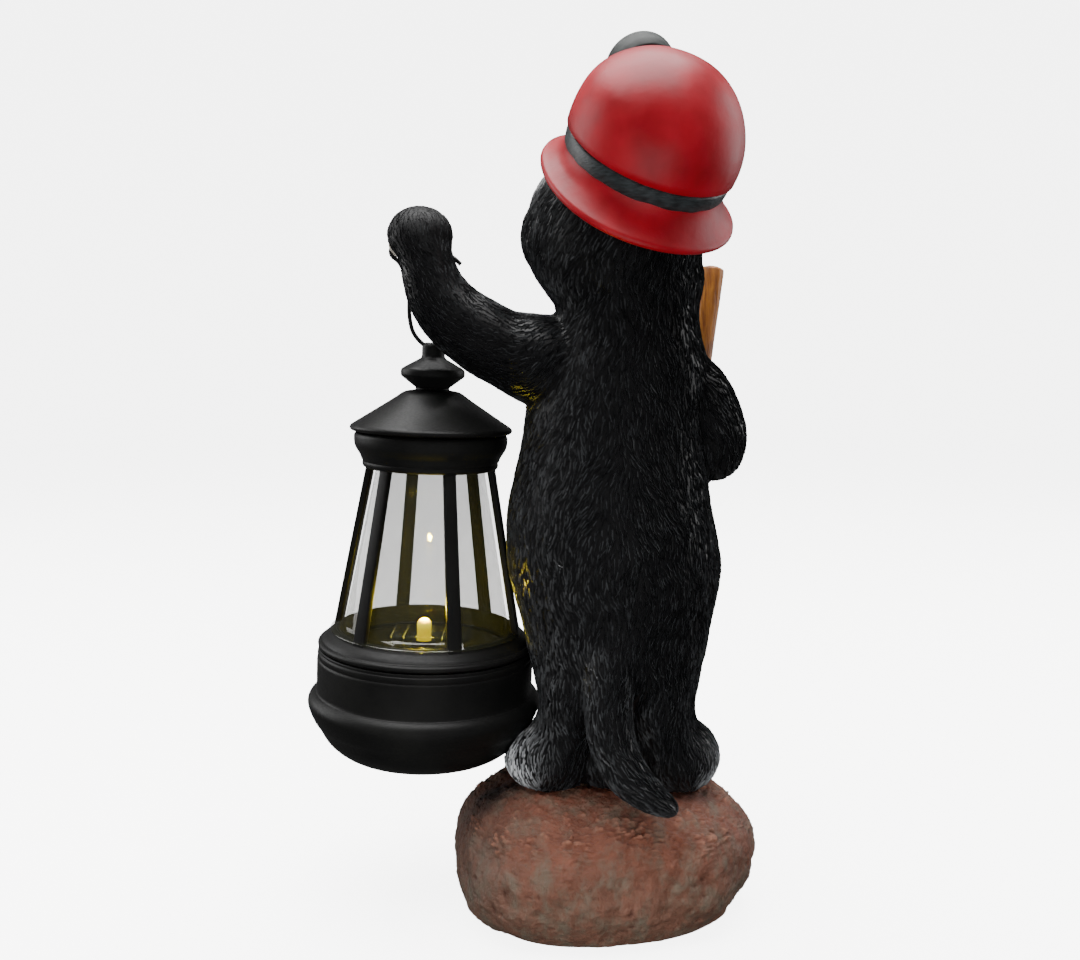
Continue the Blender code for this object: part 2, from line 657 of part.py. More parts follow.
def lantern_lamp(axis, finish):
    """A round-headed LED in its socket, near the middle of the floor."""
    low = lantern_heights()["base"]
    head, foot = LED_DIAMETER / 2, SOCKET_DIAMETER / 2
    dome = low + SOCKET_HEIGHT + LED_HEIGHT - head
    profile = [(0, low), (foot, low), (foot, low + SOCKET_HEIGHT), (head, low + SOCKET_HEIGHT)]
    profile += arc((0, dome), head, 0, 90, 4)
    lamp = turned("lantern_led", profile, finish, axis, 14)
    lamp.location.y = SOCKET_DIAMETER
    return lamp


def lantern_hook(finish):
    """The bent wire from the post, up the outer side of the paw, through its claws and cut off beyond them."""
    paw = Vector(PAW_CENTRE)
    post = paw + Vector(POST_FROM_PAW)
    from_post = [(0.0, 0.0, 0.9), (1.8, 0.0, 2.0), (4.6, 0.0, 3.8), (7.0, 0.0, 7.6), (8.0, 0.0, 13.0)]
    from_post += [(8.6, 0.0, 20.0)]
    from_paw = [(9.2, 0, -9.0), (12.2, 0, -6.0), (12.4, 0, -3.4), (10.0, 0, -1.6), (4.0, 0, -2.4)]
    from_paw += [(-4.0, 0, -4.4), (-10.0, 0, -6.4), (-13.4, 0, -9.2)]
    bar = paw + Vector((0, POST_FROM_PAW[1], 0))
    route = [post + Vector(p) for p in from_post] + [bar + Vector(p) for p in from_paw]
    bm = bmesh.new()
    tube_into(bm, [(*(figure_frame() @ p), HOOK_WIRE / 2) for p in route], 6, 2)
    return add_object("lantern_hook", bm, finish)


def main():
    clear_scene()
    plastic = material("black_plastic", BLACK_PLASTIC, 0.45)
    axis = lantern_axis()
    casting(axis, material("painted_resin", (0.008, 0.008, 0.009), 0.5))
    roof(axis, plastic)
    lantern_frame(axis, plastic)
    lantern_window(axis, material("clear_plastic", (0.9, 0.92, 0.9), 0.05, alpha=0.25))
    lantern_bowl(axis, plastic)
    lantern_floor(axis, material("grey_plastic", (0.05, 0.05, 0.05), 0.25))
    solar_panel(axis, material("solar_cell", (0.01, 0.015, 0.04), 0.15))
    lantern_lamp(axis, material("led", (0.95, 0.75, 0.25), 0.2))
    lantern_hook(material("black_wire", (0.01, 0.01, 0.01), 0.4, 1.0))


main()
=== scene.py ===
# %% [markdown]
# # A cast garden mole with a solar lantern
#
# The real statue is one hollow resin casting, painted by hand: the fur, the helmet, the shovel and the
# rock are told apart only by paint and by carving. The lantern that hangs from its raised paw is a black
# moulded cage round a clear tapered tube. This notebook loads the measured solids and makes each visible
# part again over them, with its fine surface and its finish.

# %% Load the measured model
import math
import bpy
import numpy as np
from mathutils import Matrix, Vector, noise
from mathutils.bvhtree import BVHTree


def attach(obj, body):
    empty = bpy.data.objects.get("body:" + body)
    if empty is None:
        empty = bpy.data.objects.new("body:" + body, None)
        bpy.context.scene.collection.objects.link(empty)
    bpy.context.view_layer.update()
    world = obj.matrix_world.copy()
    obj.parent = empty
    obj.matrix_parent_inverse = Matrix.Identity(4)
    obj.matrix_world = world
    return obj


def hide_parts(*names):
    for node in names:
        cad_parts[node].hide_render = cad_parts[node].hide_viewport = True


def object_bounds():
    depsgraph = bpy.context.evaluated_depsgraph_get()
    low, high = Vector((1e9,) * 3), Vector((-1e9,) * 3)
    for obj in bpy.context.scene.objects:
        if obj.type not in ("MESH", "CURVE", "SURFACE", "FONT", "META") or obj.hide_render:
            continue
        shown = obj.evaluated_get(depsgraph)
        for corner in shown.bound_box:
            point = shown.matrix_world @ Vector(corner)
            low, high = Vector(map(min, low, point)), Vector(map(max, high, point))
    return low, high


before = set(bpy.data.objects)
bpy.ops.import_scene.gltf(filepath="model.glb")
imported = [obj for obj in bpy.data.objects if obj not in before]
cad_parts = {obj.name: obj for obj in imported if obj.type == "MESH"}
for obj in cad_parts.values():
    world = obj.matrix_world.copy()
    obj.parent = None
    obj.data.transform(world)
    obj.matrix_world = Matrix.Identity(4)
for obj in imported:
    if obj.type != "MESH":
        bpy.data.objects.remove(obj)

MM = 0.001
cad_low, cad_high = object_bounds()
print("solids fill", [round(s / MM) for s in cad_high - cad_low], "mm")

# %% [markdown]
# ## Where things are
#
# Lengths are in millimetres, and the figure's own points are measured from the rock's top, where the
# soles stand. The head is tipped back, so it has a frame of its own: +X to the mole's left cheek, -Y along
# the snout and +Z out of the crown. Its eyes and nose are given in it. The lantern has a frame too, whose
# zero is the widest line of its bowl, and it leans a little towards the mole.

# %% Name the main places
ROCK_TOP = 51.0
SOLE_SINK = 1.5
SOLES = Vector((0, 0, ROCK_TOP - SOLE_SINK))
ROCK_WIDTH, ROCK_DEPTH = 112.6, 88.0
ROCK_TURN = math.radians(9)

CROWN_WAY = Vector((-0.312, 0.539, 0.783)).normalized()
SNOUT_WAY = Vector((0.200, -0.737, 0.645))
SNOUT_WAY = (SNOUT_WAY - CROWN_WAY * SNOUT_WAY.dot(CROWN_WAY)).normalized()
HEAD_CENTRE = Vector((-2.5, 1.0, 201.8))
head_turn = Matrix((CROWN_WAY.cross(SNOUT_WAY), -SNOUT_WAY, CROWN_WAY)).transposed().to_4x4()
HEAD = Matrix.Translation(HEAD_CENTRE) @ head_turn

PAW = Vector((67.0, 6.0, 203.5))
SHAFT_TOP = Vector((-45.2, -40.3, 196.0))
SHAFT_FOOT = Vector((-24.0, -35.0, 38.0))
SHAFT_RADIUS = 5.0
EYES = [(13.6, -33.5, 7.5), (-13.6, -33.5, 7.5)]
NOSE = (0, -60.0, -8.5)

POST_TOP = Vector((64.0, -9.0, 216.4))
POST_HEIGHT = 138.1
LEAN = math.radians(2.1)
lean_turn = Matrix.Rotation(-LEAN, 4, "Y")
LANTERN = Matrix.Translation(POST_TOP) @ lean_turn @ Matrix.Translation((0, 0, -POST_HEIGHT))
print("lantern ring is centred at", [round(c, 1) for c in LANTERN.translation], "mm")

# %% [markdown]
# ## The camera
#
# The photo looks at the mole's back from about 40 cm away, a little above the lantern. Its lens was worked
# out from the circles of the lantern, which show how strong the perspective is. A 36 mm lens on a 36 mm
# sensor gives that view, tipped down by under seven degrees, with no shift.

# %% Set up the camera
bpy.ops.object.camera_add(location=(0.0241, 0.400, 0.2114))
camera = bpy.context.object
camera.name = "camera"
camera.rotation_euler = (math.radians(90 - 6.76), 0, math.radians(180))
camera.data.sensor_width = 36.0
camera.data.lens = 36.0
camera.data.clip_start = 0.01
bpy.context.scene.camera = camera
print("camera stands", round(camera.location.y / MM), "mm behind the mole")

# %% [markdown]
# ## Small tools
#
# A finish is built from nodes, and a form from lines. One function adds a node, one turns a paint chart's
# hex code into light, and two give the points of a smooth curve and of an arc, which the outlines are
# drawn from.

# %% Make the small tools
def node(tree, kind, settings=None, **inputs):
    """Adds a node with its settings. An input is a value, or the socket that feeds it."""
    made = tree.nodes.new(kind)
    for key, value in (settings or {}).items():
        setattr(made, key, value)
    for key, value in inputs.items():
        key = key.replace("_", " ")
        socket = made.inputs[int(key) if key.isdigit() else key]
        if isinstance(value, bpy.types.NodeSocket):
            tree.links.new(value, socket)
        else:
            socket.default_value = value
    return made


def tone(code):
    """A hex colour, as a paint chart gives it, turned to linear light."""
    parts = [int(code[i:i + 2], 16) / 255 for i in (1, 3, 5)]
    return (*[c / 12.92 if c <= 0.04045 else ((c + 0.055) / 1.055) ** 2.4 for c in parts], 1.0)


def clear_hands():
    """Leaves nothing selected, so the next operator acts only on what it makes."""
    if bpy.context.object and bpy.context.object.mode != "OBJECT":
        bpy.ops.object.mode_set(mode="OBJECT")
    bpy.ops.object.select_all(action="DESELECT")


def hold(piece):
    """Selects one piece only, for the next operator to act on."""
    clear_hands()
    piece.select_set(True)
    bpy.context.view_layer.objects.active = piece


def smooth_path(points, steps):
    """Points on one smooth curve through the given ones. Any further numbers are carried along."""
    given = [np.array(p, float) for p in points]
    ends = [2 * given[0] - given[1]] + given + [2 * given[-1] - given[-2]]
    path = []
    for a, b, c, d in zip(ends, ends[1:], ends[2:], ends[3:]):
        for k in range(steps):
            t = k / steps
            bend = (2 * a - 5 * b + 4 * c - d) * t**2 + (3 * b - a - 3 * c + d) * t**3
            path.append(0.5 * (2 * b + (c - a) * t + bend))
    return path + [given[-1]]


def arc(centre, radius, start, end, steps):
    """Points of (radius, height) on a circle, from the start angle to the end angle in degrees."""
    turns = [math.radians(start + (end - start) * k / steps) for k in range(steps + 1)]
    return [(centre[0] + radius * math.cos(t), centre[1] + radius * math.sin(t)) for t in turns]


print("small tools are ready")

# %% [markdown]
# ## Ways of making a form
#
# Three ways cover most of the statue. A turned part is an outline, drawn point by point as a lathe tool
# would follow it, and spun round its axis. A bar is a curve with a thickness that changes along it. Flesh,
# further down, is a string of round beads, melted into one skin. A finished piece is moved into place in
# its mesh, so that its object stays at the origin.

# %% Make the turned part and the bar
def turned(name, outline, sides=96, place=Matrix.Identity(4)):
    """Draws an outline of (radius, height) and spins it. It ends on the axis or where it began."""
    clear_hands()
    bpy.ops.mesh.primitive_plane_add(size=MM)
    piece = bpy.context.object
    piece.name = name
    bpy.ops.object.mode_set(mode="EDIT")
    bpy.ops.mesh.select_mode(type="VERT")
    bpy.ops.mesh.select_all(action="SELECT")
    bpy.ops.mesh.merge(type="CENTER")
    bpy.ops.transform.translate(value=(outline[0][0] * MM, 0, outline[0][1] * MM))
    for (r, z), (next_r, next_z) in zip(outline, outline[1:]):
        step = ((next_r - r) * MM, 0, (next_z - z) * MM)
        bpy.ops.mesh.extrude_vertices_move(TRANSFORM_OT_translate={"value": step})
    bpy.ops.mesh.select_all(action="SELECT")
    bpy.ops.mesh.spin(steps=sides, angle=math.tau, center=(0, 0, 0), axis=(0, 0, 1))
    bpy.ops.mesh.select_all(action="SELECT")
    bpy.ops.mesh.remove_doubles(threshold=0.01 * MM)
    bpy.ops.mesh.normals_make_consistent(inside=False)
    bpy.ops.object.mode_set(mode="OBJECT")
    put(piece, place)
    return piece


def put(piece, place):
    """Moves a piece, made at the origin, to a frame given in millimetres."""
    hold(piece)
    shift, turn, _ = place.decompose()
    piece.matrix_world = Matrix.Translation(shift * MM) @ turn.to_matrix().to_4x4()
    bpy.ops.object.transform_apply(location=True, rotation=True, scale=True)


def bar(name, points, steps=6, sides=16, place=Matrix.Identity(4)):
    """A round bar along (x, y, z, radius) points, closed at both ends."""
    clear_hands()
    bpy.ops.curve.primitive_nurbs_path_add()
    piece = bpy.context.object
    piece.name = name
    curve = piece.data
    curve.splines.clear()
    path = smooth_path(points, steps)
    line = curve.splines.new("POLY")
    line.points.add(len(path) - 1)
    for point, (x, y, z, radius) in zip(line.points, path):
        point.co = (x * MM, y * MM, z * MM, 1)
        point.radius = radius
    curve.dimensions = "3D"
    curve.use_fill_caps = True
    curve.bevel_depth = MM
    curve.bevel_resolution = sides // 2 - 1
    bpy.ops.object.convert(target="MESH")
    piece = bpy.context.object
    bpy.ops.object.mode_set(mode="EDIT")
    bpy.ops.mesh.select_all(action="SELECT")
    bpy.ops.mesh.remove_doubles(threshold=0.01 * MM)
    bpy.ops.mesh.normals_make_consistent(inside=False)
    bpy.ops.object.mode_set(mode="OBJECT")
    put(piece, place)
    return piece


print("tools for turned parts and bars are ready")

# %% [markdown]
# ## Working on a mesh
#
# Fine relief is carved by reading where every vertex is, moving them all at once, and writing them back.
# What a painter would leave on a ridge or in a groove is written on the vertices too, as a number that the
# finish can read.

# %% Make the mesh tools
def joined(name, pieces):
    """Joins pieces into one and names it."""
    hold(pieces[0])
    for piece in pieces[1:]:
        piece.select_set(True)
    if len(pieces) > 1:
        bpy.ops.object.join()
    made = bpy.context.object
    made.name = name
    return made


def modified(piece, kind, **settings):
    """Adds a modifier and applies it at once."""
    hold(piece)
    change = piece.modifiers.new(kind.lower(), kind)
    for key, value in settings.items():
        setattr(change, key, value)
    bpy.ops.object.modifier_apply(modifier=change.name)


def vertices(piece):
    """The vertices' places in millimetres."""
    flat = np.empty(len(piece.data.vertices) * 3, np.float32)
    piece.data.vertices.foreach_get("co", flat)
    return flat.reshape(-1, 3).astype(float) / MM


def reshape(piece, places):
    """Moves the vertices to new places, given in millimetres."""
    piece.data.vertices.foreach_set("co", (places * MM).astype(np.float32).ravel())
    piece.data.update()


def note(piece, name, values):
    """Writes a number for each vertex, which a finish can read as an attribute."""
    made = piece.data.attributes.new(name, "FLOAT", "POINT")
    made.data.foreach_set("value", np.asarray(values, np.float32).ravel())


def finish_piece(piece, finish, slot, *nodes, edge=35):
    """Shades and paints a piece, and ties it to the measured model."""
    hold(piece)
    bpy.ops.object.shade_smooth_by_angle(angle=math.radians(edge))
    piece.data.materials.clear()
    piece.data.materials.append(finish)
    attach(piece, "root")
    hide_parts(*nodes)
    piece.data.calc_loop_triangles()
    print(piece.name, "has", len(piece.data.loop_triangles), "triangles")


print("mesh tools are ready")

# %% [markdown]
# ## The studio
#
# The photo has no background at all, so the statue stands in a round cove of white paper, a floor that
# bends up into a wall on every side. A cove lights everything from all round, which would turn black fur
# grey, so the paper is kept out of reflections and bounce. Large soft lamps above and at both sides leave
# broad highlights on the helmet, and the camera's own side stays dark, as in the photo. A weak lamp low
# down stands in for light off the table. It is hidden from reflections, or the window would show it.

# %% Build the cove and hang the lamps
COVE_RADIUS, COVE_BEND, COVE_HEIGHT = 3000, 700, 3500
bend = arc((COVE_RADIUS - COVE_BEND, COVE_BEND), COVE_BEND, -90, 0, 16)
cove = turned("paper_cove", [(0, 0)] + bend + [(COVE_RADIUS, COVE_HEIGHT)], 128)
bpy.ops.object.shade_smooth()
cove.visible_glossy = False
cove.visible_diffuse = False

paper = bpy.data.materials.new("white_background_paper")
paper.use_nodes = True
paper_inputs = paper.node_tree.nodes["Principled BSDF"].inputs
paper_inputs["Base Color"].default_value = tone("#F4F4F2")
paper_inputs["Roughness"].default_value = 0.9
paper_inputs["Specular IOR Level"].default_value = 0.0
paper_inputs["Emission Color"].default_value = (1, 1, 1, 1)
paper_inputs["Emission Strength"].default_value = 5.5
cove.data.materials.append(paper)

# Each lamp: name, place, size, power in watts, and the height on the statue that it faces.
LAMPS = [
    ("lamp_above", (0.08, 0.00, 1.05), 1.00, 32.0, 0.16),
    ("lamp_left", (1.05, -0.30, 0.50), 0.80, 7.0, 0.16),
    ("lamp_right", (-1.00, -0.35, 0.50), 0.90, 8.5, 0.16),
    ("lamp_off_the_table", (0.03, 0.30, 0.01), 0.34, 2.0, 0.05),
]
for name, place, size, power, aim in LAMPS:
    bpy.ops.object.light_add(type="AREA", location=place)
    lamp = bpy.context.object
    lamp.name = name
    lamp.data.size = size
    lamp.data.energy = power
    lamp.rotation_euler = (Vector((0, 0, aim)) - lamp.location).to_track_quat("-Z", "Y").to_euler()
    lamp.visible_glossy = name != "lamp_off_the_table"

studio = bpy.data.worlds.new("studio_air")
bpy.context.scene.world = studio
studio.use_nodes = True
air = studio.node_tree.nodes["Background"]
air.inputs["Color"].default_value = (1, 1, 1, 1)
air.inputs["Strength"].default_value = 0.12
print("cove and", len(LAMPS), "soft lamps")

# %% [markdown]
# ## The paints and plastics
#
# Each finish starts from one function that makes the shader, and then gets its own pattern. Patterns read
# Object coordinates, which are real metres, so a grain of 2 mm is a scale of 500.

# %% Start a finish
def new_finish(name, colour, roughness, **sockets):
    """A material of one plain colour, with any further sockets set to a value."""
    made = bpy.data.materials.new(name)
    made.use_nodes = True
    tree = made.node_tree
    shader = tree.nodes["Principled BSDF"]
    shader.inputs["Base Color"].default_value = tone(colour)
    shader.inputs["Roughness"].default_value = roughness
    for key, value in sockets.items():
        shader.inputs[key.replace("_", " ")].default_value = value
    where = node(tree, "ShaderNodeTexCoord").outputs["Object"]
    return made, tree, shader, where


def grain(tree, where, size, detail=3.0, rough=0.5):
    """Soft noise whose lumps are about the given size in millimetres."""
    return node(tree, "ShaderNodeTexNoise", Vector=where, Scale=1 / (size * MM), Detail=detail,
                Roughness=rough).outputs["Fac"]


def between(tree, value, low, high, to_low=0.0, to_high=1.0):
    """Stretches a value from one range to another, and holds it there."""
    return node(tree, "ShaderNodeMapRange", **{"Value": value, "From_Min": low, "From_Max": high,
                "To_Min": to_low, "To_Max": to_high}).outputs["Result"]


def mixed(tree, share, first, second):
    """A colour between two others, each given as a hex code or as a socket."""
    ends = [tone(c) if isinstance(c, str) else c for c in (first, second)]
    made = node(tree, "ShaderNodeMix", {"data_type": "RGBA"})
    for place, value in ((0, share), (6, ends[0]), (7, ends[1])):
        if isinstance(value, bpy.types.NodeSocket):
            tree.links.new(value, made.inputs[place])
        else:
            made.inputs[place].default_value = value
    return made.outputs[2]


def bump(tree, shader, height, depth, strength=1.0):
    """Raises the surface by the given depth in millimetres where the height is 1."""
    made = node(tree, "ShaderNodeBump", Height=height, Distance=depth * MM, Strength=strength)
    tree.links.new(made.outputs["Normal"], shader.inputs["Normal"])


def told(tree, name):
    """The number that a mesh carries on its vertices under this name."""
    return node(tree, "ShaderNodeAttribute", {"attribute_name": name}).outputs["Fac"]


def feed(tree, shader, value, socket="Base Color"):
    """Lets a pattern drive one of the shader's inputs, as a rule its colour."""
    tree.links.new(value, shader.inputs[socket])


print("a grain of 2 mm has a scale of", round(1 / (2 * MM)))

# %% [markdown]
# ## Paint of the fur
#
# A resin cast is sprayed or brushed with acrylics and sealed with a satin varnish. The fur is black, with
# grey on the tops of some strokes, partly a dry brush and partly a painted highlight for their glints, and
# white on the outer sides of the feet. Three numbers on the vertices say where: how much grey a lock's top
# carries, how white it is, and how dull the varnish is.

# %% Mix the fur's paint
def satin_black_fur():
    """Varnished black acrylic: its strokes show by their glints, and by grey on their tops, which is partly a
    dry brush and partly a painted highlight.
    """
    made, tree, shader, where = new_finish("satin_black_acrylic_on_fur", "#0A0A0C", 0.36,
                                           Specular_IOR_Level=0.3)
    ridge, frost, dull = (told(tree, name) for name in ("ridge", "frost", "dull"))
    patch = between(tree, grain(tree, where, 5.0), 0.35, 0.65, 0.55, 1.0)
    thin = between(tree, ridge, 0.12, 1.0)
    # The grey on the lock tops: partly a dry brush, partly a painted highlight.
    brushed = node(tree, "ShaderNodeMath", {"operation": "MULTIPLY"}, **{"0": thin, "1": patch})
    grey = mixed(tree, brushed.outputs[0], "#0A0A0B", "#3E4042")
    feed(tree, shader, mixed(tree, frost, grey, "#DADDE0"))
    satin = between(tree, grain(tree, where, 3.0), 0.3, 0.7, 0.30, 0.44)
    worn = node(tree, "ShaderNodeMath", {"operation": "MULTIPLY_ADD"}, **{"0": dull, "1": 0.5, "2": satin})
    feed(tree, shader, worn.outputs[0], "Roughness")
    bump(tree, shader, grain(tree, where, 0.9, 2.0), 0.10)
    return made


fur_paint = satin_black_fur()
print("mixed", fur_paint.name)

# %% [markdown]
# ## Paints of the helmet
#
# The helmet has a thick satin red, brushed unevenly, with small darker bruises. Its strap is a slate grey
# with long brush marks, and its lamp a duller grey with a cream lens.

# %% Mix the helmet's paints
def helmet_red():
    """Brushed red acrylic under satin varnish: broad soft highlights, and a deep red away from them."""
    made, tree, shader, where = new_finish("satin_red_acrylic", "#8C0A1A", 0.42, Specular_IOR_Level=0.28)
    brushed = between(tree, grain(tree, where, 14.0, 4.0), 0.3, 0.7)
    worn = between(tree, grain(tree, where, 1.2, 5.0, 0.7), 0.70, 0.78, 0.0, 0.5)
    red = mixed(tree, brushed, "#7C0613", "#980A1B")
    feed(tree, shader, mixed(tree, worn, red, "#5E0812"))
    feed(tree, shader, between(tree, brushed, 0, 1, 0.38, 0.50), "Roughness")
    bump(tree, shader, grain(tree, where, 6.0, 3.0), 0.16)
    return made


def slate_strap():
    """Acrylic laid on with a flat brush: its streaks run round the helmet, in two near greys."""
    made, tree, shader, where = new_finish("brushed_slate_acrylic", "#1E2224", 0.42)
    streaks = node(tree, "ShaderNodeMapping", Vector=where, Scale=(1.0, 1.0, 5.0)).outputs["Vector"]
    streak = between(tree, grain(tree, streaks, 3.2, 4.0), 0.35, 0.7)
    feed(tree, shader, mixed(tree, streak, "#15191A", "#2E3436"))
    bump(tree, shader, grain(tree, streaks, 2.0, 3.0), 0.15)
    return made


def lamp_grey():
    """Grey acrylic with little varnish: nearly matt, so the lamp reads as worn metal."""
    made, tree, shader, where = new_finish("grey_acrylic_on_lamp", "#2A2E2C", 0.6, Specular_IOR_Level=0.25)
    patch = between(tree, grain(tree, where, 4.0, 4.0), 0.3, 0.7)
    feed(tree, shader, mixed(tree, patch, "#1C1F1E", "#2C302E"))
    bump(tree, shader, grain(tree, where, 1.5), 0.08)
    return made


def cream_lens():
    """Cream acrylic under gloss varnish: a clear bright reflection, as from a glass lens."""
    made, tree, shader, where = new_finish("cream_gloss_on_lens", "#D8CDA6", 0.18, Coat_Weight=0.5)
    patch = between(tree, grain(tree, where, 5.0), 0.3, 0.7)
    feed(tree, shader, mixed(tree, patch, "#C9BC8C", "#E6DFC4"))
    return made


red_paint = helmet_red()
strap_paint = slate_strap()
lamp_paint = lamp_grey()
lens_paint = cream_lens()
print("mixed", [paint.name for paint in (red_paint, strap_paint, lamp_paint, lens_paint)])

# %% [markdown]
# ## Paints of the shovel and the small parts
#
# The shovel is painted as worn wood and steel, the claws as horn, the nose as bare skin and the eyes as
# wet beads. Each has one pattern of its own at the size that a small brush leaves.

# %% Mix the paints of the shovel, claws, nose and eyes
def painted_wood():
    """Two browns drawn out along the handle with a dry brush, as the fibres of wood lie."""
    made, tree, shader, where = new_finish("brown_acrylic_on_handle", "#8C552D", 0.48)
    fibres = node(tree, "ShaderNodeMapping", Vector=where, Scale=(1.0, 1.0, 0.12)).outputs["Vector"]
    streak = between(tree, grain(tree, fibres, 1.5, 5.0, 0.6), 0.32, 0.68)
    wood = mixed(tree, streak, "#6E3A10", "#B06E22")
    smudge = between(tree, grain(tree, where, 9.0), 0.45, 0.75, 0.0, 0.5)
    feed(tree, shader, mixed(tree, smudge, wood, "#4A2A10"))
    bump(tree, shader, streak, 0.25)
    return made


def painted_steel():
    """Grey acrylic with metal powder in it: half a metal's shine, clouded by wear."""
    made, tree, shader, where = new_finish("steel_grey_acrylic_on_blade", "#6A6D6F", 0.38, Metallic=0.55)
    wear = between(tree, grain(tree, where, 8.0, 5.0, 0.6), 0.35, 0.7)
    feed(tree, shader, mixed(tree, wear, "#4B4D50", "#85888A"))
    bump(tree, shader, grain(tree, where, 2.0, 4.0), 0.12)
    return made


def claw_ivory():
    """Off-white acrylic over grey: pale horn, with the grey showing in patches."""
    made, tree, shader, where = new_finish("ivory_acrylic_on_claws", "#CFC8BC", 0.4)
    patch = between(tree, grain(tree, where, 2.5, 4.0), 0.35, 0.7)
    feed(tree, shader, mixed(tree, patch, "#A79F92", "#DDD8CF"))
    return made


def nose_pink():
    """Pink acrylic under gloss varnish: it looks moist."""
    made, tree, shader, where = new_finish("pink_gloss_on_nose", "#B4706C", 0.3, Coat_Weight=0.3)
    patch = between(tree, grain(tree, where, 3.0), 0.3, 0.7)
    feed(tree, shader, mixed(tree, patch, "#9C5B58", "#C68783"))
    bump(tree, shader, grain(tree, where, 1.2), 0.12)
    return made


def eye_black():
    """A drop of gloss varnish over black: each eye mirrors the lamps as a sharp point."""
    made, tree, shader, where = new_finish("black_gloss_on_eyes", "#050506", 0.08, Coat_Weight=1.0)
    feed(tree, shader, between(tree, grain(tree, where, 2.0), 0, 1, 0.05, 0.12), "Roughness")
    return made


wood_paint = painted_wood()
steel_paint = painted_steel()
claw_paint = claw_ivory()
nose_paint = nose_pink()
eye_paint = eye_black()
print("mixed", [paint.name for paint in (wood_paint, steel_paint, claw_paint, nose_paint, eye_paint)])

# %% [markdown]
# ## Paint of the rock
#
# The rock is brushed terracotta, washed with grey-green, more so towards its foot, and darker brown on the
# side under the lantern. The pits are darker, partly a wash and partly painted shade, and the ridges paler,
# partly a dry brush and partly a painted highlight, so both follow the relief, whose height is written on the
# vertices.
# A near-black patch darkens one shoulder, under the lantern's bowl.

# %% Mix the rock's paint
def terracotta_rock():
    """Matt acrylic in thin washes: a dry mineral look, with hardly a highlight."""
    made, tree, shader, where = new_finish("washed_terracotta_acrylic", "#84503C", 0.6)
    ridge, dark_shoulder = told(tree, "ridge"), told(tree, "dark_shoulder")
    run = node(tree, "ShaderNodeMapping", Vector=where, Scale=(1.0, 1.0, 0.65)).outputs["Vector"]
    height = node(tree, "ShaderNodeSeparateXYZ", Vector=where).outputs["Z"]
    aside = node(tree, "ShaderNodeSeparateXYZ", Vector=where).outputs["X"]
    low_down = between(tree, height, 38 * MM, 16 * MM, 0.0, 0.28)
    # Darker brown towards the side under the lantern.
    under_lantern_side = between(tree, aside, 26 * MM, 44 * MM, 0.0, 0.4)
    clay = mixed(tree, between(tree, grain(tree, where, 8.0, 6.0, 0.6), 0.35, 0.65), "#59301F", "#6C3D2B")
    patch = between(tree, grain(tree, run, 7.0, 7.0, 0.66), 0.46, 0.64, 0.0, 0.62)
    wash = node(tree, "ShaderNodeMath", {"operation": "ADD", "use_clamp": True},
                **{"0": patch, "1": low_down})
    washed = mixed(tree, under_lantern_side, mixed(tree, wash.outputs[0], clay, "#5C5446"), "#483C32")
    # Paler ridges and darker pits: a dry brush and a wash, with a painted highlight on the ridges and painted
    # shade in the pits.
    lit = mixed(tree, between(tree, ridge, 0.58, 1.0, 0.0, 0.7), washed, "#966650")
    deep = mixed(tree, between(tree, ridge, 0.30, 0.0, 0.0, 0.75), lit, "#45261D")
    speck = between(tree, grain(tree, where, 1.1, 3.0), 0.68, 0.73, 0.0, 0.6)
    dotted = mixed(tree, speck, deep, "#3E221C")
    # A near-black patch on the shoulder under the lantern's bowl.
    feed(tree, shader, mixed(tree, dark_shoulder, dotted, "#241916"))
    feed(tree, shader, between(tree, grain(tree, where, 4.0), 0.3, 0.7, 0.45, 0.65), "Roughness")
    bump(tree, shader, grain(tree, run, 1.5, 7.0, 0.75), 1.1)
    return made


rock_paint = terracotta_rock()
print("mixed", rock_paint.name)

# %% [markdown]
# ## Finishes of the lantern
#
# The cage, roof and bowl are black ABS with the fine matt grain of a textured mould. The tube is clear
# styrene. Its see-through look is a low alpha, so lamplight reaches the cage and the fur behind it. The
# lamp is a warm light-emitting diode in epoxy, which glows by itself.

# %% Choose the lantern's plastics
# The lit chip's height range above the ground.
CHIP_LOW, CHIP_HIGH = 107, 111


def black_plastic():
    """ABS from a textured mould: a satin black. The texture is finer, and is drawn at 0.7 mm to show."""
    made, tree, shader, where = new_finish("matt_black_moulded_abs", "#0E0E0D", 0.46, Specular_IOR_Level=0.17)
    tone_shift = between(tree, grain(tree, where, 20.0), 0.3, 0.7)
    feed(tree, shader, mixed(tree, tone_shift, "#0B0B0B", "#121211"))
    feed(tree, shader, between(tree, grain(tree, where, 1.0), 0.3, 0.7, 0.38, 0.5), "Roughness")
    bump(tree, shader, grain(tree, where, 0.7, 3.0), 0.035)
    return made


def clear_styrene():
    """Clear styrene from a polished mould: a sharp reflection over a faint smoky tint, slightly wavy."""
    made, tree, shader, where = new_finish("clear_moulded_styrene", "#23241A", 0.04, Alpha=0.40, IOR=1.59,
                                           Specular_IOR_Level=1.0)
    feed(tree, shader, between(tree, grain(tree, where, 8.0), 0.3, 0.7, 0.02, 0.07), "Roughness")
    bump(tree, shader, grain(tree, where, 12.0, 1.0), 0.10)
    return made


def gloss_floor():
    """ABS from a polished mould: a dark mirror for the lamp above it."""
    made, tree, shader, where = new_finish("gloss_smoke_moulded_abs", "#141413", 0.08, Coat_Weight=0.6)
    patch = between(tree, grain(tree, where, 9.0), 0.3, 0.7)
    feed(tree, shader, mixed(tree, patch, "#0E0E0D", "#1A1A18"))
    bump(tree, shader, grain(tree, where, 3.5, 2.0), 0.05)
    return made


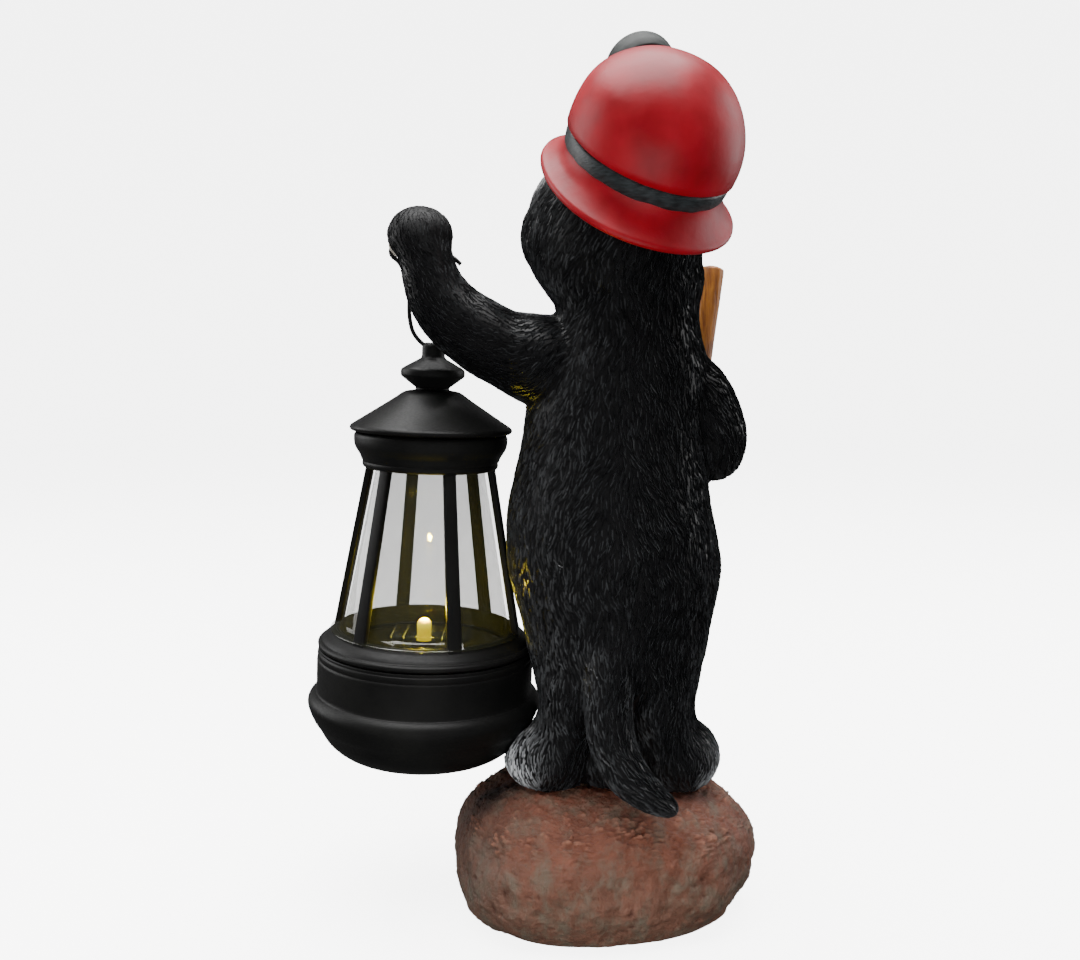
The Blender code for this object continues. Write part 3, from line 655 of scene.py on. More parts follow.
def solar_cell():
    """Blue-black silicon with bright collector lines every 5 mm, under clear resin."""
    made, tree, shader, where = new_finish("silicon_cell_under_resin", "#0A0F20", 0.12, Coat_Weight=1.0)
    lines = node(tree, "ShaderNodeTexWave", {"bands_direction": "X"}, Vector=where,
                 Scale=math.tau / (20 * 5 * MM), Distortion=0.0).outputs["Fac"]
    feed(tree, shader, mixed(tree, between(tree, lines, 0.97, 0.99), "#0A0F20", "#8A8F96"))
    return made


def lit_epoxy():
    """Clear epoxy round a lit chip: amber low down, and a brighter yellow where the chip is."""
    made, tree, shader, where = new_finish("warm_lit_epoxy", "#E8C23A", 0.15)
    glow = between(tree, grain(tree, where, 1.6), 0.2, 0.8)
    height = node(tree, "ShaderNodeSeparateXYZ", Vector=where).outputs["Z"]
    core = between(tree, height, CHIP_LOW * MM, CHIP_HIGH * MM)
    amber = mixed(tree, glow, "#E6CC00", "#FFEA08")
    feed(tree, shader, mixed(tree, core, amber, "#FFF440"), "Emission Color")
    feed(tree, shader, between(tree, core, 0, 1, 1.6, 3.2), "Emission Strength")
    return made


def wire_coat():
    """Steel wire dipped in black enamel: a thin bright line along its side."""
    made, tree, shader, where = new_finish("black_coated_wire", "#0C0C0C", 0.35)
    bump(tree, shader, grain(tree, where, 0.8), 0.03)
    return made


abs_black = black_plastic()
styrene = clear_styrene()
floor_gloss = gloss_floor()
cell_blue = solar_cell()
epoxy_lit = lit_epoxy()
wire_black = wire_coat()
print("chosen", [stuff.name for stuff in (abs_black, styrene, floor_gloss, cell_blue, epoxy_lit, wire_black)])

# %% [markdown]
# ## The body, as flesh
#
# A sculptor packs the body up from lumps of clay before any fur is cut. The same is done here: each limb
# is a string of beads whose sizes change along a smooth curve, the trunk is a pile of flat ones, and one
# voxel remesh melts them all into a single skin. It gives round joins at the shoulders and hips, which
# separate tubes wouldn't have.

# %% Give the lines of the body
# The trunk's flat beads: height, middle (x, y), half width and half depth.
BEAD_HALF_HEIGHT = 10.0
TRUNK = [
    (13, -4.5, 3.0, 9.0, 9.0), (26, -5.0, 1.0, 17.0, 16.0), (36, -5.0, 1.0, 26.5, 23.0),
    (48, -4.9, 0.5, 33.0, 29.5), (61, -4.8, -1.5, 35.8, 33.0), (80, -4.0, -3.0, 40.3, 36.0),
    (93, -2.9, -3.5, 39.8, 36.5), (106, -2.0, -3.0, 38.0, 35.0), (128, -3.2, -1.5, 34.3, 31.0),
    (143, -4.2, 0.0, 33.0, 28.5), (155, -6.5, 1.0, 31.5, 26.5), (165, -7.6, 1.5, 27.6, 24.5),
    (177, -7.8, 1.5, 25.8, 24.0), (190, -6.5, 0.5, 29.0, 27.0), (200, -5.0, 0.0, 25.0, 24.0),
]
# The limbs' round beads: middle (x, y, z) and radius.
RAISED_ARM = [(0, 1, 150, 15), (20.5, 3, 157.6, 16.9), (35.8, 5, 162.6, 13.9), (44.7, 6, 167.2, 13.4),
              (54.5, 7, 174.4, 12.2), (60, 7.5, 181, 11.2), (63, 8, 188, 10.1), (65, 8, 196, 9.5),
              (67, 8, 202, 9.5)]
SHOVEL_ARM = [(-20, 0, 152, 15), (-32.5, 0, 146, 13.6), (-40.5, -1, 133, 11.8), (-41.5, -5, 124.5, 10.6),
              (-42, -16, 126, 9.6), (-42.5, -28, 134, 9)]
TAIL = [(-2, 18, 64, 11), (-0.5, 25.5, 50, 9.2), (0, 29.5, 38, 8.6), (-1.2, 33, 26, 8.2),
        (-6.0, 36.5, 15.5, 7.6), (-13.6, 39.5, 8.8, 5.8), (-20.6, 41, 4.8, 3.6)]
SNOUT = [(0, -8, -4, 29), (0, -24, -6, 24), (0, -38, -8, 17), (0, -50, -9, 11), (0, -58, -9, 7.5)]
# Each foot: its middle (x, y), its half width and depth, and its side.
FEET = [((21.0, 0.0), (18.5, 27.0), 1), ((-28.5, 0.0), (17.0, 27.0), -1)]
TOES = 4
# The calves' flat beads: height, how far in from the foot's middle, how far back, and half width.
CALF = smooth_path([(8, 2, 5.5, 14), (14, 4, 6.5, 13.2), (22, 7, 7.6, 12.2), (30, 9, 9, 12),
                    (42, 9, 9.5, 13)], 5)
print("body has", len(TRUNK), "trunk sections and", len(CALF), "calf sections")

# %% [markdown]
# ## Packing and melting the flesh
#
# The beads overlap by more than half, so that the melted skin has no rings. Cheeks, chin, paws, heels and
# toes are single beads of their own. The voxel is 1.25 mm, finer than the thinnest toe needs, and a few
# rounds of smoothing take its steps away.

# %% String the beads and melt them
def bead(centre, radii, turn=None):
    """A lump of clay: a ball with three radii, in mm, round the given place."""
    bpy.ops.mesh.primitive_uv_sphere_add(segments=28, ring_count=14, radius=MM)
    made = bpy.context.object
    frame_at = Matrix.Translation(Vector(centre) * MM)
    made.matrix_world = frame_at @ (turn or Matrix.Identity(4)) @ Matrix.Diagonal((*radii, 1.0))
    return made


def bead_string(points, steps):
    """Round beads along a smooth curve of (x, y, z, radius)."""
    return [bead(p[:3], (p[3],) * 3) for p in smooth_path(points, steps)]


def toe_root(foot, k):
    """The middle of a toe on the front edge of a foot, counted from the inner one."""
    (x, _), (wide, _), _ = foot
    across = (k - (TOES - 1) / 2) * wide * 0.46
    return Vector((x + across, -24.5 + abs(across) * 0.32, 5.8))


def flesh():
    """All beads of the body: trunk, limbs, head, paws and feet."""
    clear_hands()
    made = [bead((x, y, z), (wide, deep, BEAD_HALF_HEIGHT)) for z, x, y, wide, deep in smooth_path(TRUNK, 6)]
    for route in (RAISED_ARM, SHOVEL_ARM, TAIL):
        made += bead_string(route, 7)
    made += bead_string([(*(HEAD @ Vector(p[:3])), p[3]) for p in SNOUT], 7)
    # The skull, then the cheeks and the sides of the chin.
    made.append(bead(HEAD @ Vector((-1.3, 0, 0)), (30.8, 33.0, 32.0), head_turn))
    for side in (1, -1):
        made.append(bead(HEAD @ Vector((side * 12.5 - 0.8, -12.0, -9.0)), (17.5, 20.0, 17.0), head_turn))
        made.append(bead(HEAD @ Vector((side * 6.0, -46.0, -13.0)), (6.5, 9.0, 5.5), head_turn))
    # The raised paw, and the one on the shovel.
    made.append(bead(PAW, (11.8, 11.2, 10.2)))
    made.append(bead((-43.5, -33.5, 139.0), (9.5, 9.0, 11.0)))
    for foot in FEET:
        # Heel, instep, ankle, calf and toes.
        (x, y), (wide, deep), side = foot
        made.append(bead((x - side, y + 4.5, 10.5), (wide - 0.5, 18.0, 14.0)))
        made.append(bead((x, y - 12.0, 6.0), (wide - 1.5, 19.0, 10.5)))
        ankle = x - 10.0 if side > 0 else x + 7.5
        made += bead_string([(x - side * 3, 4, 10, 13), (ankle, 3, 28, 13.4), (ankle - side, 2, 46, 17)], 6)
        made += [bead((x - side * inward, back, z), (half, 16.0, 8.0)) for z, inward, back, half in CALF]
        made += [bead(toe_root(foot, k), (4.3, 7.5, 4.4)) for k in range(TOES)]
    # What fills the fork between the legs.
    made += [bead((-4.0, 4.0, z), (16.0, 16.5, 9.0)) for z in range(7, 34, 3)]
    return made


SKIN_VOXEL = 1.25
skin = joined("mole_skin", flesh())
hold(skin)
bpy.ops.object.transform_apply(location=True, rotation=True, scale=True)
skin.data.remesh_voxel_size = SKIN_VOXEL * MM
bpy.ops.object.voxel_remesh()
modified(skin, "SMOOTH", factor=0.5, iterations=14)
put(skin, Matrix.Translation(SOLES))
print("skin has", len(skin.data.polygons), "faces")

# %% [markdown]
# ## Clearing the lantern, and the mouth
#
# The lantern hangs right against the mole, and the real casting is dented there. Each point of the skin
# that would be inside the lantern is pushed straight out from its axis. The mouth is a shallow groove under
# the snout, drawn as a curve and pressed in where the skin is near it.

# %% Dent the skin and press the mouth
# The lantern's outline with some room round it: height and radius in its own frame.
LANTERN_EDGE = np.array([
    (-23.6, 24.0), (-19.8, 33.0), (-15.2, 38.6), (-7.5, 42.2), (-4.65, 44.6), (-1.5, 45.4), (1.5, 45.4),
    (4.65, 44.6), (7.5, 42.4), (18.4, 41.4), (24.0, 42.0), (30.3, 36.2), (89.3, 25.9), (97.0, 31.0),
    (106.0, 31.0), (119.1, 13.0), (127.6, 12.8), (131.6, 5.0), (138.6, 5.0),
])


def keep_off_lantern(places, room):
    """Pushes points out of the lantern's outline, away from its axis."""
    into = np.array(LANTERN.inverted())
    back = np.array(LANTERN)
    local = places @ into[:3, :3].T + into[:3, 3]
    out = np.hypot(local[:, 0], local[:, 1])
    edge = np.interp(local[:, 2], LANTERN_EDGE[:, 0], LANTERN_EDGE[:, 1], left=0, right=0)
    need = np.where(edge > 0, np.maximum(out, edge + room), out)
    local[:, :2] *= (need / np.maximum(out, 0.01))[:, None]
    return local @ back[:3, :3].T + back[:3, 3]


def stay_in_box(places):
    """Holds points 0.05 mm inside the box of the measured solids."""
    low, high = np.array(cad_low) / MM + 0.05, np.array(cad_high) / MM - 0.05
    return np.clip(places, low, high)


MOUTH = [(-14, -34, -17), (-9, -46, -16.5), (0, -57, -15.5), (9, -46, -16.5), (14, -34, -17)]
mouth_line = np.array([SOLES + HEAD @ Vector(p) for p in smooth_path(MOUTH, 10)])
places = vertices(skin)
into_head = np.array((Matrix.Translation(SOLES) @ HEAD).inverted())
inward = np.array(SOLES + HEAD @ Vector((0, -34, -8))) - places
inward /= np.linalg.norm(inward, axis=1)[:, None]
nearest = np.min([np.linalg.norm(places - p, axis=1) for p in mouth_line], axis=0)
places += inward * (1.7 * np.exp(-(nearest / 1.5) ** 2))[:, None]
places = stay_in_box(keep_off_lantern(places, 0.3))
reshape(skin, places)
note(skin, "ridge", np.zeros(len(places)))
note(skin, "frost", np.zeros(len(places)))
PAW_TOP = SOLES + PAW + Vector((0, 0, 6))
note(skin, "dull", np.exp(-(np.linalg.norm(places - np.array(PAW_TOP), axis=1) / 13) ** 2))
finish_piece(skin, fur_paint, "painted_resin", "mole_casting")

# %% [markdown]
# ## Combing the fur
#
# The fur is cut in the master model with a narrow gouge, in strokes a little over a millimetre wide. Which
# way they run is what makes the form read. They go back over the snout from the nose and down from the
# crown, spread from the nape and again from the middle of the back, follow the arms and the tail, and fan
# out from the ankles. Guides along each limb, and a few springs that the strokes run away from, are blended
# by distance.

# %% Lay out the comb
rng = np.random.default_rng(7)


def along(route, reach):
    """Guides along a route: each has a place, a way, how far it is felt and its share."""
    path = np.array([p[:3] for p in smooth_path(route, 4)])
    way = np.gradient(path, axis=0)
    step = np.linalg.norm(way, axis=1)[:, None]
    return np.hstack([path + SOLES, way / step, np.full((len(path), 1), reach), step / reach])


LEGS = [[(x - 11 * side, 2, 46), (x - 9 * side, 3, 28), (x - 3 * side, 4, 10)] for (x, _), _, side in FEET]
guides = np.vstack(
    [along([(x, y, z) for z, x, y, _, _ in TRUNK[::-1]], 26.0), along(RAISED_ARM + [(69, 8, 214, 9)], 15.0),
     along(SHOVEL_ARM + [(-43.5, -36, 146, 9)], 14.0), along(TAIL + [(-27, 43, 3, 3)], 11.0)]
    + [along(leg, 12.0) for leg in LEGS])

# Each spring: where the strokes start from, the middle of the place where it is felt, how far, how much.
SPRINGS = [(SOLES + HEAD @ Vector((0, -66, -6)), SOLES + HEAD @ Vector((0, -44, -6)), 22.0, 2.6),
           (SOLES + HEAD @ Vector((0, -10, 62)), SOLES + HEAD @ Vector((0, 4, -8)), 34.0, 2.2),
           (Vector((-6, 22, 252)), Vector((-6, 24, 218)), 24.0, 0.9),
           (Vector((-5, 30, 177)), Vector((-5, 34, 158)), 17.0, 1.1)]
SPRINGS += [(SOLES + Vector((x - side * 6, 6, 46)), SOLES + Vector((x, -2, 8)), 24.0, 1.2)
            for (x, _), _, side in FEET]


def combed(places, normals):
    """The way the fur lies at each place, laid flat on the skin there."""
    way = np.zeros_like(places)
    for guide in guides:
        pull = np.exp(-np.sum((places - guide[:3]) ** 2, axis=1) / guide[6] ** 2) * guide[7]
        way += pull[:, None] * guide[3:6]
    for source, centre, reach, share in SPRINGS:
        away = places - np.array(source)
        pull = share * np.exp(-np.sum((places - np.array(centre)) ** 2, axis=1) / reach**2)
        way += (pull / np.linalg.norm(away, axis=1))[:, None] * away
    way -= normals * np.sum(way * normals, axis=1)[:, None]
    return way / np.maximum(np.linalg.norm(way, axis=1), 1e-6)[:, None]


print("comb has", len(guides), "guides and", len(SPRINGS), "springs")

# %% [markdown]
# ## Sowing the roots
#
# Random points on the skin, kept at least 1.1 mm apart, give an even cover with no rows. Each triangle gets
# points by its area, and a grid of small cells finds the ones that are too close. None is sown under the
# helmet, on the nose and the eyes, or on the soles.

# %% Sow the roots
ROOT_SPACING = 1.1


def sown(piece, spacing):
    """Random points on a piece that keep their distance from each other."""
    mesh = piece.data
    corners = np.empty(len(mesh.loop_triangles) * 3, np.int32)
    mesh.loop_triangles.foreach_get("vertices", corners)
    a, b, c = (vertices(piece)[corners.reshape(-1, 3)[:, k]] for k in range(3))
    cross = np.cross(b - a, c - a)
    area = np.linalg.norm(cross, axis=1) / 2
    count = int(area.sum() / spacing**2 * 3.2)
    pick = rng.choice(len(area), count, p=area / area.sum())
    u, v = rng.random(count), rng.random(count)
    flip = u + v > 1
    u[flip], v[flip] = 1 - u[flip], 1 - v[flip]
    spots = a[pick] + (b - a)[pick] * u[:, None] + (c - a)[pick] * v[:, None]
    taken, kept = {}, []
    near = [(i, j, k) for i in (-1, 0, 1) for j in (-1, 0, 1) for k in (-1, 0, 1)]
    cells = np.floor(spots / spacing).astype(int).tolist()
    for n, ((i, j, k), (x, y, z)) in enumerate(zip(cells, spots.tolist())):
        for di, dj, dk in near:
            other = taken.get((i + di, j + dj, k + dk))
            if other and (other[0] - x) ** 2 + (other[1] - y) ** 2 + (other[2] - z) ** 2 < spacing**2:
                break
        else:
            taken[i, j, k] = (x, y, z)
            kept.append(n)
    way_out = cross[pick[kept]]
    return spots[kept], way_out / np.linalg.norm(way_out, axis=1)[:, None]


roots, root_normals = sown(skin, ROOT_SPACING)
in_head = roots @ into_head[:3, :3].T + into_head[:3, 3]
bare = (in_head[:, 2] > 18.5) & (np.hypot(in_head[:, 0], in_head[:, 1]) < 40)
bare |= np.linalg.norm(in_head - np.array(NOSE), axis=1) < 8.5
for eye in EYES:
    bare |= np.linalg.norm(in_head - np.array(eye), axis=1) < 4.2
bare |= roots[:, 2] < ROCK_TOP + 0.4
roots, root_normals = roots[~bare], root_normals[~bare]
print(len(roots), "locks will be laid")

# %% [markdown]
# ## One lock
#
# A lock is modelled once, as a ball with three sides and three rings, drawn out to a point at both ends:
# twelve triangles, because there are so many of them. It is kept as three numbers for each of its corners:
# how far along the lock the corner is, to which side, and how high it rises.

# %% Shape one lock
clear_hands()
bpy.ops.mesh.primitive_uv_sphere_add(segments=3, ring_count=3, radius=MM)
lock = bpy.context.object
lock.name = "one_lock"
shape = vertices(lock)
lock_t = (1 - shape[:, 2]) / 2
lock_side = np.sign(shape[:, 1]) * np.where(np.abs(shape[:, 1]) > 0.1, 1.0, 0.0)
lock_side *= np.interp(lock_t, (0, 0.25, 0.75, 1), (0, 1.0, 0.85, 0))
on_ridge = shape[:, 0] > 0.1
lock_rise = np.where(on_ridge, np.interp(lock_t, (0, 0.25, 0.75, 1), (0, 0.8, 1.1, 0.9)), -0.7)
lock_rise[lock_t < 0.01], lock_rise[lock_t > 0.99] = -0.5, 0.75
lock_faces = [tuple(p.vertices) for p in lock.data.polygons]
bpy.data.objects.remove(lock)
print("a lock has", len(shape), "corners and", len(lock_faces), "faces")

# %% [markdown]
# ## Laying the locks
#
# Every copy follows the curve of the skin under it, bends a little to one side, and lifts at its tip, so
# that the outline of the statue is ragged with fur. Lengths, widths and heights vary by chance, and are
# smaller on the paw, the snout and the forearm, where the carving is finer.

# %% Lay the locks
surface = BVHTree.FromPolygons(vertices(skin).tolist(), [tuple(p.vertices) for p in skin.data.polygons])


def turned_by(ways, normals, angles):
    """Swings each way about its normal."""
    return ways * np.cos(angles)[:, None] + np.cross(normals, ways) * np.sin(angles)[:, None]


def laid(places):
    """The nearest points of the skin, and the ways out of it there."""
    hits = [surface.find_nearest(p) for p in places.tolist()]
    return np.array([h[0] for h in hits]), np.array([h[1] for h in hits])


ways = combed(roots, root_normals)
wave = np.array([noise.noise(Vector(p) / 11.0) + 0.6 * noise.noise(Vector(p) / 4.0) for p in roots.tolist()])
ways = turned_by(ways, root_normals, wave * 0.55 + rng.normal(0, 0.10, len(roots)))
lock_length = rng.uniform(3.2, 5.8, len(roots))
lock_half = rng.uniform(0.34, 0.50, len(roots))
lock_height = rng.uniform(0.30, 0.52, len(roots))
lock_bend = rng.normal(0, 0.14, len(roots))
paw_top = np.exp(-(np.linalg.norm(roots - np.array(PAW_TOP), axis=1) / 13) ** 2)
snout_tip = np.exp(-(np.linalg.norm(in_head[~bare] - np.array((0, -52, -9)), axis=1) / 16) ** 2)
arm = np.clip((roots[:, 0] - 24) / 18, 0, 1) * (roots[:, 2] > 190)
small = np.maximum(np.maximum(paw_top, snout_tip), 0.8 * arm)
lock_length *= 1 - 0.45 * small
lock_half *= 1 - 0.25 * small
lock_height *= 1 - 0.30 * small - 0.35 * paw_top

stations = sorted(set(np.round(lock_t, 4)))
bases, outs = {}, {}
for t in stations:
    run = (lock_length * t)[:, None]
    swing = (lock_length * lock_bend * t * t)[:, None]
    bases[t], out = laid(roots + ways * run + np.cross(root_normals, ways) * swing)
    outs[t] = 0.5 * out + 0.5 * root_normals

corner_places = np.empty((len(roots), len(shape), 3))
for k, t in enumerate(np.round(lock_t, 4)):
    side = np.cross(outs[t], ways)
    corner_places[:, k] = (bases[t] + side * (lock_side[k] * lock_half)[:, None]
                           + outs[t] * (lock_rise[k] * lock_height)[:, None])

print("locks are", lock_length.min().round(1), "to", lock_length.max().round(1), "mm long")

# %% [markdown]
# ## Brushing the locks and gathering them
#
# Grey goes on the top of some locks, and hardly any on the paw: partly a dry brush, and partly a painted
# highlight for the glints of the strokes. The outer sides of the feet are dusted with white. The locks are
# then gathered into a few meshes by height, so that each stays a size that a printer or a viewer can open.

# %% Brush and gather the locks
# How much grey each lock's top gets: partly a dry brush, partly a painted highlight.
lit = (0.2 + 0.8 * rng.random(len(roots)) ** 1.8) * (1 - 0.8 * paw_top)
foot_side = np.zeros(len(roots))
for (x, _), (wide, _), side in FEET:
    spot, reach = SOLES + Vector((x + side * (wide + 1), 13, 9)), 13.5 if side > 0 else 10.0
    dusted = np.exp(-(np.linalg.norm(roots - np.array(spot), axis=1) / reach) ** 2)
    foot_side = np.maximum(foot_side, dusted * (1.0 if side > 0 else 0.6))
frosted = foot_side * rng.random(len(roots)) ** 0.7
print("frost reaches", round(float(frosted.max()), 2))
flat = corner_places.reshape(-1, 3)
flat[:] = stay_in_box(keep_off_lantern(flat, 0.05))


def gathered(name, chosen):
    """Copies of the lock, each with its own corners, in one mesh."""
    count, corners = len(chosen), len(shape)
    mesh = bpy.data.meshes.new(name)
    piece = bpy.data.objects.new(name, mesh)
    bpy.context.scene.collection.objects.link(piece)
    loops = np.concatenate([np.array(f) for f in lock_faces])
    sizes = np.array([len(f) for f in lock_faces])
    mesh.vertices.add(count * corners)
    mesh.loops.add(count * len(loops))
    mesh.polygons.add(count * len(sizes))
    mesh.vertices.foreach_set("co", (corner_places[chosen] * MM).astype(np.float32).ravel())
    offsets = np.arange(count)[:, None] * corners
    mesh.loops.foreach_set("vertex_index", (loops[None] + offsets).astype(np.int32).ravel())
    starts = np.concatenate([[0], np.cumsum(np.tile(sizes, count))[:-1]])
    mesh.polygons.foreach_set("loop_start", starts.astype(np.int32))
    mesh.update(calc_edges=True)
    mesh.validate()
    note(piece, "ridge", lit[chosen][:, None] * on_ridge[None])
    note(piece, "frost", frosted[chosen][:, None] * np.where(on_ridge, 1.0, 0.25)[None])
    note(piece, "dull", np.repeat(paw_top[chosen], corners))
    return piece


order = np.argsort(roots[:, 2])
parts = np.array_split(order, math.ceil(len(roots) * 12 / 190000))
for k, chosen in enumerate(parts):
    tuft = gathered(f"fur_locks_{k + 1}", chosen)
    finish_piece(tuft, fur_paint, "painted_resin", "mole_casting", edge=60)

# %% [markdown]
# ## The rock
#
# The base is a boulder of worn sandstone. Its broad shape is a squarish oval that bulges below its middle.
# A fine ball is pressed into that shape, with the bottom of the ball spread out as a flat underside.

# %% Shape the boulder
clear_hands()
bpy.ops.mesh.primitive_uv_sphere_add(segments=400, ring_count=240, radius=MM)
rock = bpy.context.object
rock.name = "rock_base"
ROCK_WIDEST = 0.40
ball = vertices(rock)
lift = np.arcsin(np.clip(ball[:, 2], -1, 1)) / (math.pi / 2)
spin = np.arctan2(ball[:, 1], ball[:, 0])
plan = (np.abs(np.cos(spin)) ** 2.5 + np.abs(np.sin(spin)) ** 2.5) ** (-1 / 2.5)
start = -math.asin((1 / 1.45) ** 1.2)
under = lift < -0.8
angle = start + (math.pi / 2 - start) * np.clip((lift + 0.8) / 1.8, 0, 1)
upper = angle > 0
away = np.sign(angle) * np.abs(np.sin(angle)) ** np.where(upper, 2 / 2.8, 2 / 2.4)
level = ROCK_WIDEST + away * np.where(upper, 1 - ROCK_WIDEST, 1.45 * ROCK_WIDEST)
share = np.clip(np.cos(angle), 0, 1) ** np.where(upper, 2 / 2.8, 2 / 2.4)
share = np.where(under, share * (1 + lift) / 0.2, share)
spots = np.stack([np.cos(spin) * plan * share * ROCK_WIDTH / 2, np.sin(spin) * plan * share * ROCK_DEPTH / 2,
                  np.clip(level, 0, 1) * ROCK_TOP], axis=1)
reshape(rock, spots)
outward = np.empty(len(spots) * 3, np.float32)
rock.data.vertices.foreach_get("normal", outward)
outward = outward.reshape(-1, 3)

print("boulder is", (spots.max(axis=0) - spots.min(axis=0)).round(1), "mm")

# %% [markdown]
# ## Carving the rock
#
# The upper third was left rough, with a band of crumbling chips, and the rest is worn smooth with soft
# dents and small pits. The chips are cells that each tilt outwards to their upper edge, in two sizes. All
# of it is real relief, pushed out along the surface, and its height is noted so that the paint can be
# darker in the pits and paler on the ridges: a wash and a dry brush, with painted shade in the pits and a
# painted highlight on the ridges.

# %% Carve the rock
CHIPS = ((4.4, 1.5), (2.2, 1.0))
relief, height_note = np.zeros(len(spots)), np.zeros(len(spots))
for n, (x, y, z) in enumerate(spots.tolist()):
    spot = Vector((x, y, z))
    broad = noise.noise(spot / (ROCK_TOP * 0.45)) + 0.5 * noise.noise(spot / (ROCK_TOP * 0.2))
    scales = 0.0
    warp = 1.6 * noise.noise(spot / 5.0) + 0.9 * noise.noise(spot / 1.6)
    for size, tall in CHIPS:
        gaps, cells = noise.voronoi(Vector((x + warp, y + warp, (z + warp) * 1.9)) / size)
        tilt = min(1.0, max(0.0, (z + warp) * 1.9 / size - cells[0].z + 0.5))
        rim = min(1.0, (gaps[1] - gaps[0]) * 4)
        scales += tall * (0.3 + 0.7 * abs(noise.cell(cells[0] * 7.3))) * tilt * rim
    mask = math.exp(-((z - 41.0) / 8.5) ** 4) * max(0.0, min(1.0, 0.95 + 1.2 * noise.noise(spot / 12.0)))
    fine = noise.fractal(Vector((x, y, z * 0.7)) / 4.0, 0.7, 2.1, 6)
    pit = max(0.0, noise.noise(spot / 2.4 + Vector((7, 3, 1))) - 0.40) * (1.4 if z < 26 else 0.5)
    local = mask * scales + 0.6 * fine - 1.8 * pit
    height_note[n] = 0.36 + 0.36 * local
    relief[n] = broad * 2.2 + local
spots += outward * np.where(under, 0, relief * np.clip(spots[:, 2] / 3.0, 0, 1))[:, None]
c, s = math.cos(ROCK_TURN), math.sin(ROCK_TURN)
spots[:, :2] = np.stack([spots[:, 0] * c - spots[:, 1] * s, spots[:, 0] * s + spots[:, 1] * c], axis=1)
spots = stay_in_box(spots)
reshape(rock, spots)
note(rock, "ridge", np.clip(height_note, 0, 1))
# A near-black patch, ragged at its edge, on the shoulder under the lantern's bowl.
dark_spot_distance = np.linalg.norm(spots - np.array((42, 10, 47)), axis=1)
rough_edge = np.array([noise.noise(Vector(p) / 3.0) for p in spots.tolist()])
note(rock, "dark_shoulder", np.clip(1.25 - dark_spot_distance / 10.0 + 0.5 * rough_edge, 0, 1) * 0.9)
finish_piece(rock, rock_paint, "painted_resin", "mole_casting", edge=80)

# %% [markdown]
# ## The helmet
#
# The helmet is one turned outline, from the underside of its brim, round the rolled edge and up over the
# dome. Its outline bulges above the strap, so the strap lies in a valley. The brim is pressed in a little on
# one side, and the dome is fuller there, as the casting's is.

# %% Turn the helmet
def rounded(outline, radius, steps=3):
    """Rounds each corner of an outline by up to the radius, or by a third number given with it."""
    points = [Vector(p[:2]) for p in outline]
    made = [tuple(points[0])]
    for before, corner, after, given in zip(points, points[1:], points[2:], outline[1:]):
        room = given[2] if len(given) > 2 else radius
        first = corner + (before - corner).normalized() * min(room, (before - corner).length * 0.48)
        last = corner + (after - corner).normalized() * min(room, (after - corner).length * 0.48)
        for k in range(steps + 1):
            t = k / steps
            made.append(tuple(first * (1 - t) ** 2 + corner * 2 * t * (1 - t) + last * t * t))
    return made + [tuple(points[-1])]


HAT = Matrix.Translation(SOLES) @ HEAD @ Matrix.Translation((0, 0, 20))
BRIM_EDGE, BRIM_PRESSED = 37.6, 3.4


def pressed(piece):
    """Moves the low part of the helmet in on the mole's left, more towards its edge."""
    places = vertices(piece)
    side = np.clip(places[:, 0] / BRIM_EDGE, 0, None) ** 3 * np.clip((11 - places[:, 2]) / 2, 0, 1)
    places[:, 0] -= BRIM_PRESSED * side
    wobble = np.array([noise.noise(Vector(p) / 17.0) for p in places.tolist()]) * 0.35
    places += wobble[:, None] * places / np.linalg.norm(places, axis=1)[:, None]
    reshape(piece, places)


dome = arc((0, 19.0), 30.7, math.degrees(math.asin((17.2 - 19) / 30.7)), 90, 22)
brim = [(25.5, 7.0), (30.0, 3.6), (34.5, 0.4)] + arc((36.0, 0.45), 1.55, -110, 80, 8)
brim += [(34.8, 3.1), (32.6, 4.9), (30.6, 7.4), (28.9, 10.2), (28.6, 13.4), (29.2, 16.2)]
outline = [(0, 10.0), (20.0, 10.0)] + brim + dome[:-1] + [(0, 49.7)]
helmet = turned("helmet", outline, 160)
pressed(helmet)
places = vertices(helmet)
fuller = 1.3 * np.clip(places[:, 0] / 24, 0, 1) * np.exp(-((places[:, 2] - 38) / 11) ** 2)
from_heart = places - (0, 0, 19)
reshape(helmet, places + from_heart * (fuller / np.linalg.norm(from_heart, axis=1))[:, None])
put(helmet, HAT)
reshape(helmet, stay_in_box(vertices(helmet)))
finish_piece(helmet, red_paint, "painted_resin", "mole_casting", edge=60)

# %% [markdown]
# ## The helmet's strap and lamp
#
# The strap is a flat band whose edges wander a little, as hand painting leaves them. The lamp is a short
# round box on the front of the dome, with a raised rim round a domed lens.

# %% Turn the strap and the lamp
strap = turned("helmet_strap", rounded([(27.6, 13.0), (27.6, 10.7), (29.3, 10.5), (29.7, 13.3), (29.8, 16.0),
                                        (28.4, 16.8), (27.6, 16.0), (27.6, 13.0)], 0.5), 160)
places = vertices(strap)
turn = np.arctan2(places[:, 1], places[:, 0])
hand = np.array([noise.noise(Vector((math.cos(a) * 5, math.sin(a) * 5, z / 6))) for a, z in
                 zip(turn.tolist(), places[:, 2].tolist())])
places[:, 2] += hand * 0.55
reshape(strap, places)
put(strap, HAT)
finish_piece(strap, strap_paint, "painted_resin", "mole_casting", edge=60)

